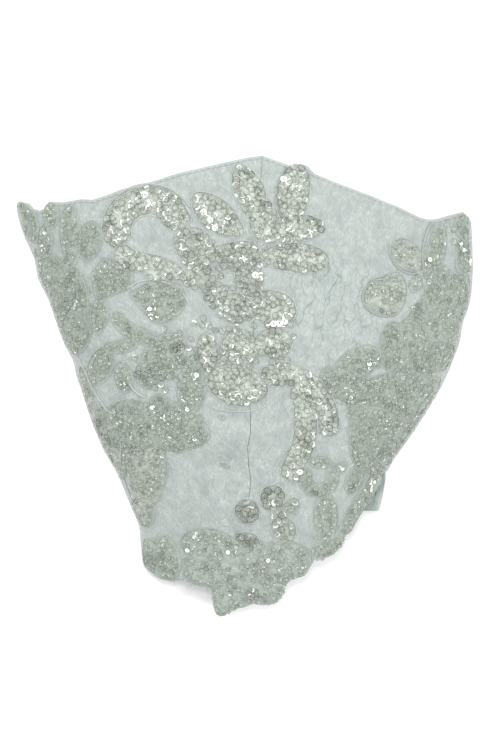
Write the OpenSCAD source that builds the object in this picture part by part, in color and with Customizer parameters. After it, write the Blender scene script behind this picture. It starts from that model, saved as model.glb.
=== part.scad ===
// Fingerless lace wedding glove, lying palm side down: a flared tube of net with
// a lining, a plain palm panel, hems and seams, and sequinned lace motifs sewn on.
// +Y points to the arm end, -Y to the hand end, and +Z up through the back of the hand.

/* [Glove] */
// Width across the arm end
glove_w = 152.6; // [120:0.2:180]
// Length from the point over the fingers to the peak of the arm end
glove_l = 153; // [120:0.5:180]
// Height of the arched back of the glove
arch_h = 30; // [20:0.5:40]

/* [Fabric] */
// Thickness of the net
net_t = 0.6; // [0.4:0.1:0.8]
// Thickness of the lining
lining_t = 0.5; // [0.3:0.1:0.7]
// Space between the net and the lining
lining_gap = 0.8; // [0.4:0.1:1.2]
// Width of the folded hems
hem_w = 2.4; // [1.5:0.1:4]
// Width of the seam tapes
seam_w = 1.6; // [1:0.1:3]

/* [Embroidery] */
// Thickness of an embroidered leaf
leaf_t = 0.6; // [0.3:0.1:1]
// Diameter of a sequin
sequin_d = 2.6; // [2:0.1:3]
// Thickness of a sequin
sequin_t = 0.25; // [0.1:0.05:0.4]
// Diameter of the hole in a sequin
sequin_hole = 0.8; // [0.5:0.1:1.2]
// Distance between neighbouring sequins
sequin_pitch = 2.85; // [2.7:0.05:4]

/* [Hidden] */
// The outlines below are drawn for this width and length, and scaled to the ones above.
drawn_w = 152.6;
drawn_l = 153;
kx = glove_w / drawn_w;
ky = glove_l / drawn_l;

// Sides of the tube as [y, x], from the hand end to the arm end.
side_left = [[-76, -32], [-58, -34], [-46, -35], [-30, -41.7], [-20, -47.8], [-10, -51.5],
    [4, -56.2], [9, -56.8], [14, -60], [24, -63.4], [36, -69], [43, -70], [52, -74.2], [62, -76.3]];
side_right = [[-76, 43], [-40, 45], [-30, 47.2], [-22, 50.5], [-10, 59.3], [0, 65.7], [10, 70],
    [15, 72], [21, 72.6], [27, 75.2], [40, 76.3], [54, 76], [62, 75.5]];
// Edge of the arm end as [x, y], with the scallops at its two corners.
arm_edge = [[-76.3, 59.5], [-75, 61.7], [-72, 60.6], [-70.6, 59.2], [-68, 58.3], [-66, 59.3],
    [-64.3, 61.3], [-60, 61.2], [-55, 62.1], [-50, 62], [-42, 65], [-30, 68], [-20, 71],
    [-10, 73.6], [0, 75.6], [5, 76.5], [7.5, 76.3], [12, 74.4], [15, 73.3], [20.5, 73.3],
    [23, 70.7], [30, 67.8], [40, 64.2], [54, 58.4], [58, 56], [62, 55.4], [66, 56.2],
    [70, 57.3], [73, 58], [75.2, 56.4], [76.3, 54]];
// Scalloped edge of the hand end as [x, y]. It follows the outer leaves.
hand_edge = [[-34.3, -57], [-33.3, -60], [-30.5, -62.8], [-27, -64.4], [-24, -64.5],
    [-19, -64.3], [-16, -66], [-12.5, -66.6], [-10.7, -67.6], [-10, -74.8], [-8.5, -76.5],
    [-6.8, -76.3], [-5, -75], [-2.5, -73.9], [0.3, -73.3], [3, -72], [5.5, -72.5], [9, -72.4],
    [11.8, -71.2], [13.5, -68.3], [14.6, -64.8], [17.5, -63.8], [20.5, -62.4], [22, -59.6],
    [23.8, -57.3], [28, -56.7], [30.3, -55.6], [33, -51.8], [33.6, -49.5], [35.2, -46.5],
    [36.2, -44], [38.5, -42], [41, -36.5], [44, -31], [47.3, -28]];
// Centre seam as [y, x].
seam_line = [[-76, 2.4], [-36, 2.2], [-28, 1.4], [-18, 1.3], [-12, 2.4], [0, 2], [40, 4], [77, 6]];
palm_top = 53;        // straight edge of the palm panel at the arm end
palm_end = -41.4;     // straight edge of the palm panel at the hand end
section_power = 2.3;  // 2 makes the arch an ellipse, and more makes its shoulders fuller
crown_y = 25;         // where the arch is highest
hand_fall = 0.74;     // share of the height lost at the hand end
arm_fall = 0.1;       // and at the arm end
reach = 101;          // from the highest place to the hand end
seam_gap = 0.3;       // between the two halves of the net
columns = 27;         // of each half of the net
rows = 15;

function left_x(y) = kx * lookup(y / ky, side_left);
function right_x(y) = kx * lookup(y / ky, side_right);
function mid_x(y) = (left_x(y) + right_x(y)) / 2;
function half_x(y) = (right_x(y) - left_x(y)) / 2;
function arm_y(x) = ky * lookup(x / kx, arm_edge);
function hand_y(x) = ky * lookup(x / kx, hand_edge);
function seam_x(y) = kx * lookup(y / ky, seam_line);
function crown(y) =
    let (away = abs(y / ky - crown_y) / reach, fall = y / ky < crown_y ? hand_fall : 4 * arm_fall)
    arch_h * (1 - fall * pow(away, 2));

// Height of the back of the glove over [x, y], at a distance d outside the net.
function height(x, y, d = 0) =
    let (u = min(1, abs(x - mid_x(y)) / (half_x(y) + d)))
    (crown(y) + d) * sqrt(1 - pow(u, section_power));

// A point at angle a round the arch, 0 at the left side and 180 at the right.
function across(a, y) = mid_x(y) - half_x(y) * cos(a);
function arch(a, y, d) =
    let (x = mid_x(y) - (half_x(y) + d) * cos(a)) [x, y, height(x, y, d)];
// Where the line at angle a meets an end of the glove.
function arm_end(a, y = 60, n = 8) = n == 0 ? y : arm_end(a, (y + arm_y(across(a, y))) / 2, n - 1);
function hand_end(a, y = -55, n = 14) =
    n == 0 ? y : hand_end(a, (y + hand_y(across(a, y))) / 2, n - 1);
function seam_angle(y, side) =
    acos((mid_x(y) - seam_x(y) - side * seam_gap / 2) / half_x(y));

// A closed sheet between two grids of points, each a list of rows of equal length.
module sheet(outer, inner) {
    n = len(outer);
    m = len(outer[0]);
    function at(i, j, layer) = layer * n * m + i * m + j;
    polyhedron(points = concat([for (r = outer) each r], [for (r = inner) each r]),
        faces = concat(
            [for (i = [0:n - 2], j = [0:m - 2]) [at(i, j, 0), at(i, j + 1, 0), at(i + 1, j, 0)]],
            [for (i = [0:n - 2], j = [0:m - 2])
                [at(i + 1, j, 0), at(i, j + 1, 0), at(i + 1, j + 1, 0)]],
            [for (i = [0:n - 2], j = [0:m - 2]) [at(i, j, 1), at(i + 1, j, 1), at(i, j + 1, 1)]],
            [for (i = [0:n - 2], j = [0:m - 2])
                [at(i + 1, j, 1), at(i + 1, j + 1, 1), at(i, j + 1, 1)]],
            [for (j = [0:m - 2]) each [[at(0, j, 0), at(0, j, 1), at(0, j + 1, 1)],
                [at(0, j, 0), at(0, j + 1, 1), at(0, j + 1, 0)],
                [at(n - 1, j, 0), at(n - 1, j + 1, 0), at(n - 1, j + 1, 1)],
                [at(n - 1, j, 0), at(n - 1, j + 1, 1), at(n - 1, j, 1)]]],
            [for (i = [0:n - 2]) each [[at(i, 0, 0), at(i + 1, 0, 0), at(i + 1, 0, 1)],
                [at(i, 0, 0), at(i + 1, 0, 1), at(i, 0, 1)],
                [at(i, m - 1, 0), at(i, m - 1, 1), at(i + 1, m - 1, 1)],
                [at(i, m - 1, 0), at(i + 1, m - 1, 1), at(i + 1, m - 1, 0)]]]));
}

// Half of the arched back, at depth d under the net's outer face, and t thick.
// side is -1 for the left half and 1 for the right one. short draws both ends in.
module half_back(side, d, t, columns, rows, short = 0) {
    function angle(i, y) = side < 0
        ? seam_angle(y, -1) * i / columns
        : 180 - (180 - seam_angle(y, 1)) * (1 - i / columns);
    function grid(d) = [for (i = [0:columns])
        let (a = angle(i, 0), top = arm_end(a) - short, end = hand_end(a) + short)
        [for (j = [0:rows]) let (y = top + (end - top) * j / rows) arch(angle(i, y), y, -d)]];
    sheet(grid(d), grid(d + t));
}

// A strip that lies on the back of the glove. Each row is [x, y, across x, across y,
// half width], and the strip fills the space from height low to height high over the net.
module strip(rows, low, high) {
    function level(d) = [for (r = rows) [for (s = [-1, 0, 1])
        let (x = r[0] + s * r[4] * r[2], y = r[1] + s * r[4] * r[3]) [x, y, height(x, y, d)]]];
    sheet(level(high), level(low));
}

// Rows of a strip along hand-drawn points, with half widths and rounded ends.
function direction(p, i) =
    let (v = p[min(i + 1, len(p) - 1)] - p[max(i - 1, 0)]) v / norm(v);
function along(p, w0, w1, round = 0.5) = [for (i = [0:len(p) - 1])
    let (v = direction(p, i), t = i / (len(p) - 1), end = (i == 0 || i == len(p) - 1) ? round : 1)
    [p[i][0] * kx, p[i][1] * ky, v[1], -v[0], end * (w0 + (w1 - w0) * t) / 2]];

// Leaves and scrolls of the lace, as rows of a strip, at their drawn places.
leaf_rows = 8;
function leaf_form(t) = max(0.24, pow(sin(180 * pow(t, 1.2)), 0.55));
function leaf(x, y, length, width, turn) = [for (i = [0:leaf_rows])
    let (t = i / leaf_rows, s = (t - 0.5) * length)
    [(x + s * cos(turn)) * kx, (y + s * sin(turn)) * ky, sin(turn), -cos(turn),
        leaf_form(t) * width / 2]];
function scroll(x, y, radius, from, to, w0, w1) =
    along([for (i = [0:leaf_rows + 2]) let (a = from + (to - from) * i / (leaf_rows + 2))
        [x + radius * cos(a), y + radius * sin(a)]], w0, w1);

// The motifs: [name, its leaves]. A leaf has its centre, length, width and turn.
motifs = [
    ["upper_scroll", [scroll(-31.5, 51.5, 10, 10, 205, 7, 8), scroll(-31, 50, 10.5, 212, 300, 6.5, 5)]],
    ["star_flower", [leaf(-8.2, 56.8, 20, 9, 141), leaf(1.2, 62, 20, 8, 103), leaf(8.6, 57.8, 7, 3.2, 100),
        leaf(16.8, 64.6, 17.8, 8.8, 80), leaf(16.6, 51.2, 20, 6.4, 5), leaf(16.8, 42.2, 21, 8.4, -5)]],
    ["flower_heart", [leaf(-15.8, 42, 17.4, 9.6, 108), leaf(-3.5, 42.5, 13, 8.6, 178),
        leaf(1.2, 33.6, 10, 7, -50)]],
    ["centre_spray", [leaf(10.6, 25.7, 12.6, 9.6, -18), leaf(-0.9, 25.2, 9, 7.6, 170), leaf(-10, 30.4, 8, 6.4, 80),
        leaf(9.8, 14, 11, 8, 8), leaf(-0.8, 13, 8.6, 9.4, 160), leaf(-11.8, 11.4, 11, 5, 96)]],
    ["arch_scroll", [leaf(-2, 1.6, 18, 11, 165),
        along([[8, 3.8], [12, 4.2], [16, 3.8], [20, 2.2], [23.6, -1.2], [26, -6], [27.2, -11], [27, -15.6]], 5.5, 5.2),
        along([[16.8, -2.8], [19, -6.4], [19.8, -10.5], [20, -15], [18.8, -20], [16.8, -25], [14.8, -29.8]], 5.6, 5.6)]],
    ["upper_left_leaves", [leaf(-28.2, 28.2, 18, 10, 160), leaf(-44.2, 35.8, 12.4, 9.2, 8)]],
    ["upper_left_border", [leaf(-51, 48.4, 12, 6.4, 80), leaf(-57.6, 49, 18, 4.6, 92),
        leaf(-64.2, 57.4, 7.4, 3.6, 96), leaf(-66.6, 48.4, 9, 3.4, 92), leaf(-72.2, 54.8, 13, 5, 112)]],
    ["left_border", [along([[-65.6, 42], [-64, 38], [-61.6, 33], [-59.4, 28], [-58, 22.6], [-57, 17]], 7, 6.6),
        along([[-58, 38.6], [-56, 35.4], [-55, 32]], 3.6, 3.2), leaf(-47.6, 23.8, 11, 4, 84),
        leaf(-52.6, 24, 8, 2.4, 88), leaf(-52.4, 32.2, 3, 2.4, 90)]],
    ["left_spray", [along([[-43.6, 22.2], [-41, 20.6], [-38.6, 18.6], [-36.4, 16], [-35, 13.4]], 2.6, 3.2),
        along([[-44, 13.4], [-41.4, 12.8], [-38.6, 13]], 2.4, 2.4), leaf(-47.6, 7, 10.4, 5.6, 250),
        leaf(-39.8, 3.2, 9, 4.4, 284), leaf(-31.6, 3.6, 7, 5.4, 300), leaf(-27.2, 10.4, 12, 7.6, 20),
        leaf(-20.4, 15.6, 5, 4, 0), leaf(-17.4, 1.2, 17.4, 7.2, 262)]],
    ["lower_left_leaf", [leaf(-21.8, -11, 19.6, 6.4, -36), leaf(-28.8, -13.9, 20, 5.6, -34),
        leaf(-40.6, -13.2, 9.6, 8.4, 170), leaf(-33.4, -19.2, 9, 3.8, 172)]],
    ["lower_left_border", [along([[-33.6, -21.6], [-33.6, -26], [-34, -31], [-35, -36], [-35.2, -41]], 10, 5),
        along([[-53.8, 4.6], [-52.6, 0], [-51.2, -4], [-49.8, -8], [-48.4, -12], [-46.8, -16.4]], 3.4, 3.4),
        along([[-43.2, -21], [-41.6, -25]], 3, 3)]],
    ["left_hem_lobe", [leaf(-31.4, -56.4, 9.6, 3.4, 286), leaf(-25.2, -57, 13.4, 6.2, 276)]],
    ["hem_flower", [leaf(-10.6, -53, 18.6, 8.2, 172), leaf(-10, -62, 16.8, 7.2, 182), leaf(-5.4, -71, 12, 8.4, 232),
        leaf(7.6, -69.2, 12, 6.6, 8), leaf(14, -58.6, 15.6, 10, 6), leaf(2.4, -60.6, 9, 5, 262)]],
    ["small_blossom", [leaf(1, -41.2, 8, 7.4, 120), leaf(9.6, -37, 8.4, 7.2, 60), leaf(1, -50.4, 8, 4.4, 175),
        leaf(12, -47.8, 8, 6.4, 300), along([[10.6, -42], [13.6, -40], [17, -37]], 2.4, 2.4)]],
    ["ring_scroll", [scroll(25, -29.4, 5, 20, -215, 2.6, 2.8), leaf(25.6, -24.8, 5, 2.2, -6),
        leaf(36.6, -30, 8.6, 3.4, 240)]],
    ["right_hem_lobe", [leaf(27.2, -43.6, 15, 5.4, 92), leaf(28, -54, 6.6, 4.2, 14), leaf(33, -48, 6.2, 2.8, 55),
        along([[44, -30.4], [41.6, -34], [39.4, -38], [37, -41.6], [35, -45]], 3, 2.4)]],
    ["right_leaves", [leaf(36.8, 8.6, 15.4, 7.4, 22), leaf(36.6, -1.4, 16.4, 7.2, 176), leaf(27.8, 4.6, 5, 2.8, 90)]],
    ["lower_right_border", [leaf(50.6, -1.4, 14, 6, -24), leaf(46.4, 4.2, 5.4, 2.4, 10),
        along([[57.4, -7.4], [53.6, -10], [49.4, -12], [45, -13.2], [40.4, -13.6]], 5, 4.4),
        along([[51.6, -17.2], [47.6, -19.8], [43, -21.2], [38.4, -21.6]], 4.8, 4.4), along([[45.4, -26.6], [40.6, -27.6]], 3.4, 3)]],
    ["right_border", [leaf(48.8, 13.8, 14, 5.4, 86), leaf(57.6, 12.6, 16, 5, 94), leaf(52.2, 7.4, 5.4, 3.6, 80),
        leaf(65.4, 10, 9.8, 7.6, 20), leaf(64.4, 26, 12.4, 8, 60), leaf(57.6, 24.6, 5, 2.8, 70),
        along([[72.2, 33], [71.6, 27], [70.6, 21.6]], 3.4, 2.8)]],
    ["right_blossom", [leaf(46.8, 29.4, 13, 10.2, 180), leaf(54, 43.2, 12, 8.4, 132), leaf(56.4, 33.6, 3.6, 2.6, 60)]],
    ["upper_right_border", [leaf(62.8, 45, 18, 5.2, 84), leaf(65.4, 35.2, 4, 3, 20), leaf(72.4, 53, 6, 4, 90),
        along([[73, 48.6], [73.2, 44], [72.8, 39]], 3.6, 3.6)]],
];

motif_names = [for (m = motifs) m[0]];

// Raised cords that outline scrolls and petals: [name, routes]. A route is a list of points.
cord_w = 0.8;
cord_t = 0.7;
function bend(x, y, rx, ry, from, to, turn = 0, n = 10) = [for (i = [0:n])
    let (a = from + (to - from) * i / n, u = rx * cos(a), v = ry * sin(a))
    [x + u * cos(turn) - v * sin(turn), y + u * sin(turn) + v * cos(turn)]];
cords = [
    ["upper_left_cords", [bend(-31.5, 51.5, 14.4, 14.4, 18, 150), bend(-31.5, 51.5, 5.8, 5.4, 24, 200),
        bend(-15.8, 42, 9.4, 5.6, 60, 200, 108), bend(-28.2, 28.2, 9.8, 5.8, 200, 350, 160)]],
    ["left_cords", [[[-60, 17], [-56.4, 12], [-53, 5.6]], [[-48.6, -1], [-46, -6], [-43, -9]],
        [[-40.8, -19.4], [-41, -24], [-40, -30]], bend(-35.6, 3, 3, 7, 100, 260, 30)]],
    ["window_cords", [[[13, -6], [16, -12], [15, -19], [12, -24], [9.4, -28.4]],
        [[5.4, -35.6], [8.6, -33], [12, -31]], bend(-2, -4, 11, 4.2, 205, 330)]],
    ["upper_right_cords", [bend(16.8, 64.6, 9.4, 5.2, 20, 165, 80), bend(46.8, 29.4, 8, 6.2, 60, 300),
        bend(54, 43.2, 7.2, 5.4, 20, 165, 132), bend(62.8, 45, 10, 3.6, 20, 160, 84)]],
];
cord_names = [for (c = cords) c[0]];
function shapes_of(name) = motifs[search([name], motif_names)[0]][1];

module back_net_left() { color([0.79, 0.83, 0.80]) half_back(-1, 0, net_t, columns, rows); }
module back_net_right() { color([0.79, 0.83, 0.80]) half_back(1, 0, net_t, columns, rows); }

lining_columns = 16;
lining_rows = 8;
lining_short = 1.6;   // the lining stops this far inside the net's ends
module back_lining_left() {
    color([0.86, 0.88, 0.86])
        half_back(-1, net_t + lining_gap, lining_t, lining_columns, lining_rows, lining_short);
}
module back_lining_right() {
    color([0.86, 0.88, 0.86])
        half_back(1, net_t + lining_gap, lining_t, lining_columns, lining_rows, lining_short);
}

// The palm panel lies flat between the sides of the back.
wall = net_t + lining_gap + lining_t;
side_clear = 0.5;
palm_columns = 6;
// Rows of the panel, and its right side as [y, x] below the back of the glove,
// where it shows as a tab with a rounded corner.
palm_rows = [palm_top, 44, 34, 24, 14, 4, -6, -16, -24, -28.4, -30, -36, -40, palm_end];
tab_side = [[palm_end, 43.2], [-40, 44.9], [-36, 46], [-30, 47.2]];
function palm_left(y) = left_x(y * ky) + wall + side_clear;
function palm_right(y) =
    y < -29 ? kx * lookup(y, tab_side) : right_x(y * ky) - wall - side_clear;
module palm_net() {
    function level(z) = [for (i = [0:palm_columns]) [for (y = palm_rows)
        [palm_left(y) + (palm_right(y) - palm_left(y)) * i / palm_columns, y * ky, z]]];
    color([0.76, 0.80, 0.77]) sheet(level(net_t), level(0));
}

// A tape of width w along plan points, lying on the palm panel or on the back.
tape_t = 0.5;
tape_lift = 0.1;
module flat_tape(points, w, z) {
    path = along(points, w, w, 1);
    function level(z) = [for (r = path) [for (s = [-1, 1])
        [r[0] + s * w / 2 * r[2], r[1] + s * w / 2 * r[3], z]]];
    sheet(level(z + tape_t), level(z));
}
tape_rows = 14;
function palm_y(i, n) = palm_top + (palm_end - palm_top) * i / n;
module side_seam_left() {
    color([0.70, 0.74, 0.71]) flat_tape([for (i = [0:tape_rows]) let (y = palm_y(i, tape_rows))
        [palm_left(y) / kx + seam_w, y]], seam_w, net_t + tape_lift);
}
module side_seam_right() {
    color([0.70, 0.74, 0.71]) flat_tape([for (i = [0:tape_rows]) let (y = palm_y(i, tape_rows))
        [palm_right(y) / kx - seam_w, y]], seam_w, net_t + tape_lift);
}
module palm_hem(y) {
    in = 2 * seam_w + 0.4;
    x0 = palm_left(y) / kx + in;
    x1 = palm_right(y) / kx - in;
    flat_tape([for (i = [0:palm_columns]) [x0 + (x1 - x0) * i / palm_columns, y]], hem_w,
        net_t + tape_lift);
}
module palm_arm_hem() { color([0.70, 0.74, 0.71]) palm_hem(palm_top - hem_w / 2); }
module palm_hand_hem() { color([0.70, 0.74, 0.71]) palm_hem(palm_end + hem_w / 2); }

// The seam tape shows as a line between the two halves of the net.
module centre_seam() {
    d = net_t + tape_lift;
    path = along([for (i = [0:tape_rows]) let (y = 73 - 142 * i / tape_rows)
        [lookup(y, seam_line), y]], seam_w, seam_w, 1);
    color([0.55, 0.60, 0.57]) strip(path, -d - tape_t, -d);
}

// The folded hem of the arm end, sewn on the net, in two halves.
hem_columns = 22;
hem_from = 24;    // degrees round the arch, where the corner scallops begin
module arm_hem(side) {
    seam = seam_angle(ky * 75, side);
    a0 = side < 0 ? hem_from : seam;
    a1 = side < 0 ? seam : 180 - hem_from;
    function grid(d) = [for (i = [0:hem_columns])
        let (a = a0 + (a1 - a0) * i / hem_columns, y = arm_end(a))
        [arch(a, y, d), arch(a, y - hem_w, d)]];
    sheet(grid(tape_lift + tape_t), grid(tape_lift));
}
module arm_hem_left() { color([0.66, 0.71, 0.68]) arm_hem(-1); }
module arm_hem_right() { color([0.66, 0.71, 0.68]) arm_hem(1); }

// The cords of one group, and the embroidered leaves of one motif.
leaf_lift = 0.1;
module cord_group(name) {
    color([0.85, 0.88, 0.84])
        for (route = cords[search([name], cord_names)[0]][1])
            strip(along(route, cord_w, cord_w), leaf_lift, leaf_lift + cord_t);
}
module lace(name) {
    color([0.72, 0.76, 0.70])
        for (s = shapes_of(name)) strip(s, leaf_lift, leaf_lift + leaf_t);
}

// The sequins of one motif, in rows over its leaves.
edge_clear = 0.4;
module sequin(x, y) {
    step = 0.5;
    d = leaf_lift + leaf_t + 0.15;
    dx = (height(x + step, y, d) - height(x - step, y, d)) / (2 * step);
    dy = (height(x, y + step, d) - height(x, y - step, d)) / (2 * step);
    tilt = acos(1 / sqrt(1 + dx * dx + dy * dy));
    translate([x, y, height(x, y, d)]) rotate([0, tilt, atan2(-dy, -dx)]) difference() {
        cylinder(d = sequin_d, h = sequin_t, $fn = 20);
        translate([0, 0, -1]) cylinder(d = sequin_hole, h = 3, $fn = 16);
    }
}
function run(rows, i) = i == 0 ? 0
    : run(rows, i - 1) + norm([rows[i][0] - rows[i - 1][0], rows[i][1] - rows[i - 1][1]]);
// Places [x, y] in rows over one leaf, and the rows closer together where it is wider.
function sequin_places(s) =
    let (n = len(s) - 1, total = run(s, n),
        table = [for (k = [0:4]) [for (i = [0:n]) [run(s, i), s[i][k]]]],
        count = max(1, floor((total - sequin_d) / sequin_pitch)))
    [for (i = [0:count])
        let (at = total / 2 + (i - count / 2) * sequin_pitch,
            r = [for (k = [0:4]) lookup(at, table[k])],
            side = max(0, floor(2 * (r[4] - sequin_d / 2 + edge_clear) / sequin_pitch)))
        for (j = [0:side])
            let (off = (j - side / 2) * sequin_pitch, x = r[0] + off * r[2], y = r[1] + off * r[3])
            if (abs(x - mid_x(y)) < sequin_reach * half_x(y)) [x, y]];
sequin_reach = 0.965;   // no sequins further out than this share of the half width
sequin_clear = 0.08;    // between neighbours
module sequins(name) {
    places = [for (s = shapes_of(name)) each sequin_places(s)];
    color([0.87, 0.90, 0.85]) for (i = [0:len(places) - 1]) {
        crowded = [for (j = [0:1:i - 1])
            if (norm(places[i] - places[j]) < sequin_d + sequin_clear) j];
        if (len(crowded) == 0) sequin(places[i][0], places[i][1]);
    }
}

BODY = ["back_net_left", "back_net_right", "back_lining_left", "back_lining_right", "palm_net",
    "centre_seam", "side_seam_left", "side_seam_right", "palm_arm_hem", "palm_hand_hem",
    "arm_hem_left", "arm_hem_right"];
back_net_left();
back_net_right();
back_lining_left();
back_lining_right();
palm_net();
centre_seam();
side_seam_left();
side_seam_right();
palm_arm_hem();
palm_hand_hem();
arm_hem_left();
arm_hem_right();
for (n = cord_names) cord_group(n);
for (n = motif_names) {
    lace(n);
    sequins(n);
}
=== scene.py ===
"""A fingerless lace wedding glove, laid palm side down on a pale floor.

Lengths in the tables and functions are millimetres, and MM turns them into metres.
"""
import math

import bpy
import numpy as np
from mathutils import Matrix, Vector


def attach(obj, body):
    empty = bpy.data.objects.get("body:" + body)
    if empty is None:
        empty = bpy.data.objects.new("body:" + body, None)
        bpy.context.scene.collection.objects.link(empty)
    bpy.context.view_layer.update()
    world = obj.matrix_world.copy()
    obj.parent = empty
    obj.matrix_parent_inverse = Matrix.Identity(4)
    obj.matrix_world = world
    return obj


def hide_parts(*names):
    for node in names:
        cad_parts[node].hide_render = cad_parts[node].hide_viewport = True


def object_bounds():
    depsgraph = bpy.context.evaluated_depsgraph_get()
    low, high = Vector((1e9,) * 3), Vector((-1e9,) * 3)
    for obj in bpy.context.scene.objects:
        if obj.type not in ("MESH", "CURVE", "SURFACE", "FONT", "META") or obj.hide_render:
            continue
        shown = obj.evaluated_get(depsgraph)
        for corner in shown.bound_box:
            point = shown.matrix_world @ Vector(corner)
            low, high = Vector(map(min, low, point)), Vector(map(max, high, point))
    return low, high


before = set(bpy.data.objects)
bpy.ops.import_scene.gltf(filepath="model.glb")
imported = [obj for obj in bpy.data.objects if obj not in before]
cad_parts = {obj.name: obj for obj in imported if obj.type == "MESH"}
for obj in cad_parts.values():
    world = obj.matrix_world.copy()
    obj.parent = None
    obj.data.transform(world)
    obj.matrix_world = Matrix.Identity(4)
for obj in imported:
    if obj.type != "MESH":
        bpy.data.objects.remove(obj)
CAD_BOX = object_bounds()
MM = 0.001
ROOT = "root"

# ---------------------------------------------------------------------------
# The camera and the lights
# ---------------------------------------------------------------------------
VIEW_CENTRE = (0.33, 6.4)    # the middle of the picture, over the glove
VIEW_LENGTH = 244.2          # what the picture's long side covers
VIEW_PLANE = 14.0            # at this height over the floor
LENS = 400.0
SENSOR = 36.0


def make_camera():
    data = bpy.data.cameras.new("camera")
    data.lens = LENS
    data.sensor_width = SENSOR
    data.clip_end = 10
    cam = bpy.data.objects.new("camera", data)
    distance = VIEW_LENGTH * LENS / SENSOR
    cam.location = (VIEW_CENTRE[0] * MM, VIEW_CENTRE[1] * MM, (VIEW_PLANE + distance) * MM)
    bpy.context.scene.collection.objects.link(cam)
    bpy.context.scene.camera = cam


def area_light(name, place, size, power):
    """A square white light at a place in metres, which looks at the origin."""
    data = bpy.data.lights.new(name, "AREA")
    data.shape = "SQUARE"
    data.size = size
    data.energy = power
    light = bpy.data.objects.new(name, data)
    light.location = place
    light.rotation_euler = (-light.location).to_track_quat("-Z", "Y").to_euler()
    bpy.context.scene.collection.objects.link(light)


def make_lights():
    area_light("key", (-0.3, 0.45, 0.8), 0.25, 4.4)
    area_light("side", (0.55, -0.1, 0.6), 0.2, 2.0)
    area_light("top", (0.02, 0.12, 1.0), 0.06, 1.3)
    world = bpy.data.worlds.new("studio")
    world.use_nodes = True
    background = world.node_tree.nodes["Background"]
    background.inputs["Color"].default_value = (1, 1, 1, 1)
    background.inputs["Strength"].default_value = 1.05
    bpy.context.scene.world = world
    bpy.context.scene.view_settings.view_transform = "Standard"


# ---------------------------------------------------------------------------
# Materials
# ---------------------------------------------------------------------------
class Nodes:
    """Short names for building a material's node tree."""

    def __init__(self, name):
        self.material = bpy.data.materials.new(name)
        self.material.use_nodes = True
        self.tree = self.material.node_tree
        self.shader = self.tree.nodes["Principled BSDF"]

    def add(self, kind, **settings):
        node = self.tree.nodes.new(kind)
        for key, value in settings.items():
            setattr(node, key, value)
        return node

    def link(self, out, into):
        self.tree.links.new(out, into)

    def value(self, **inputs):
        for key, v in inputs.items():
            self.shader.inputs[key.replace("_", " ")].default_value = v

    def coords(self, kind, scale):
        source = self.add("ShaderNodeTexCoord")
        mapping = self.add("ShaderNodeMapping")
        mapping.inputs["Scale"].default_value = scale
        self.link(source.outputs[kind], mapping.inputs["Vector"])
        return mapping.outputs["Vector"]

    def vector(self, operation, vector, *values):
        """A vector maths node on a vector, whose other inputs are values or links."""
        node = self.add("ShaderNodeVectorMath", operation=operation)
        self.link(vector, node.inputs[0])
        for socket, value in zip(node.inputs[1:], values):
            if isinstance(value, tuple):
                socket.default_value = value
            else:
                self.link(value, socket)
        return node.outputs[0]

    def away(self, vector, *centre):
        """The distance of a vector from a centre, or from 0."""
        node = self.add("ShaderNodeVectorMath", operation="DISTANCE" if centre else "LENGTH")
        self.link(vector, node.inputs[0])
        if centre:
            node.inputs[1].default_value = centre
        return node.outputs["Value"]

    def maths(self, operation, value, number):
        node = self.add("ShaderNodeMath", operation=operation)
        self.link(value, node.inputs[0])
        node.inputs[1].default_value = number
        return node

    def noise(self, vector, scale, detail=3.0, rough=0.5):
        node = self.add("ShaderNodeTexNoise")
        node.inputs["Scale"].default_value = scale
        node.inputs["Detail"].default_value = detail
        node.inputs["Roughness"].default_value = rough
        self.link(vector, node.inputs["Vector"])
        return node.outputs["Fac"]

    def cells(self, vector, randomness=1.0):
        """How far each point is from the edges of cells one unit across."""
        node = self.add("ShaderNodeTexVoronoi", feature="DISTANCE_TO_EDGE", voronoi_dimensions="2D")
        node.inputs["Scale"].default_value = 1.0
        node.inputs["Randomness"].default_value = randomness
        self.link(vector, node.inputs["Vector"])
        return node.outputs["Distance"]

    def waves(self, vector, direction, scale, distortion):
        node = self.add("ShaderNodeTexWave", wave_type="BANDS", bands_direction=direction)
        node.inputs["Scale"].default_value = scale
        node.inputs["Distortion"].default_value = distortion
        self.link(vector, node.inputs["Vector"])
        return node

    def ramp(self, value, stops):
        node = self.add("ShaderNodeValToRGB")
        elements = node.color_ramp.elements
        while len(elements) < len(stops):
            elements.new(0.5)
        for element, (place, colour) in zip(elements, stops):
            element.position = place
            element.color = (*colour, 1)
        self.link(value, node.inputs["Fac"])
        return node.outputs["Color"]

    def grey(self, value, low, high, a, b):
        """value, from low to high, becomes a grey from a to b."""
        return self.ramp(value, [(low, (a, a, a)), (high, (b, b, b))])

    def mix(self, a, b, factor, mode="MIX"):
        node = self.add("ShaderNodeMix", data_type="RGBA", blend_type=mode)
        for socket, v in ((node.inputs["Factor"], factor), (node.inputs["A"], a), (node.inputs["B"], b)):
            if isinstance(v, (int, float)):
                socket.default_value = v
            elif isinstance(v, tuple):
                socket.default_value = (*v, 1)
            else:
                self.link(v, socket)
        return node.outputs["Result"]

    def times(self, a, b):
        return self.mix(a, b, 1.0, "MULTIPLY")

    def bump(self, height, strength, distance):
        node = self.add("ShaderNodeBump")
        node.inputs["Strength"].default_value = strength
        node.inputs["Distance"].default_value = distance
        self.link(height, node.inputs["Height"])
        self.link(node.outputs["Normal"], self.shader.inputs["Normal"])

    def colour(self, out):
        self.link(out, self.shader.inputs["Base Color"])


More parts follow.
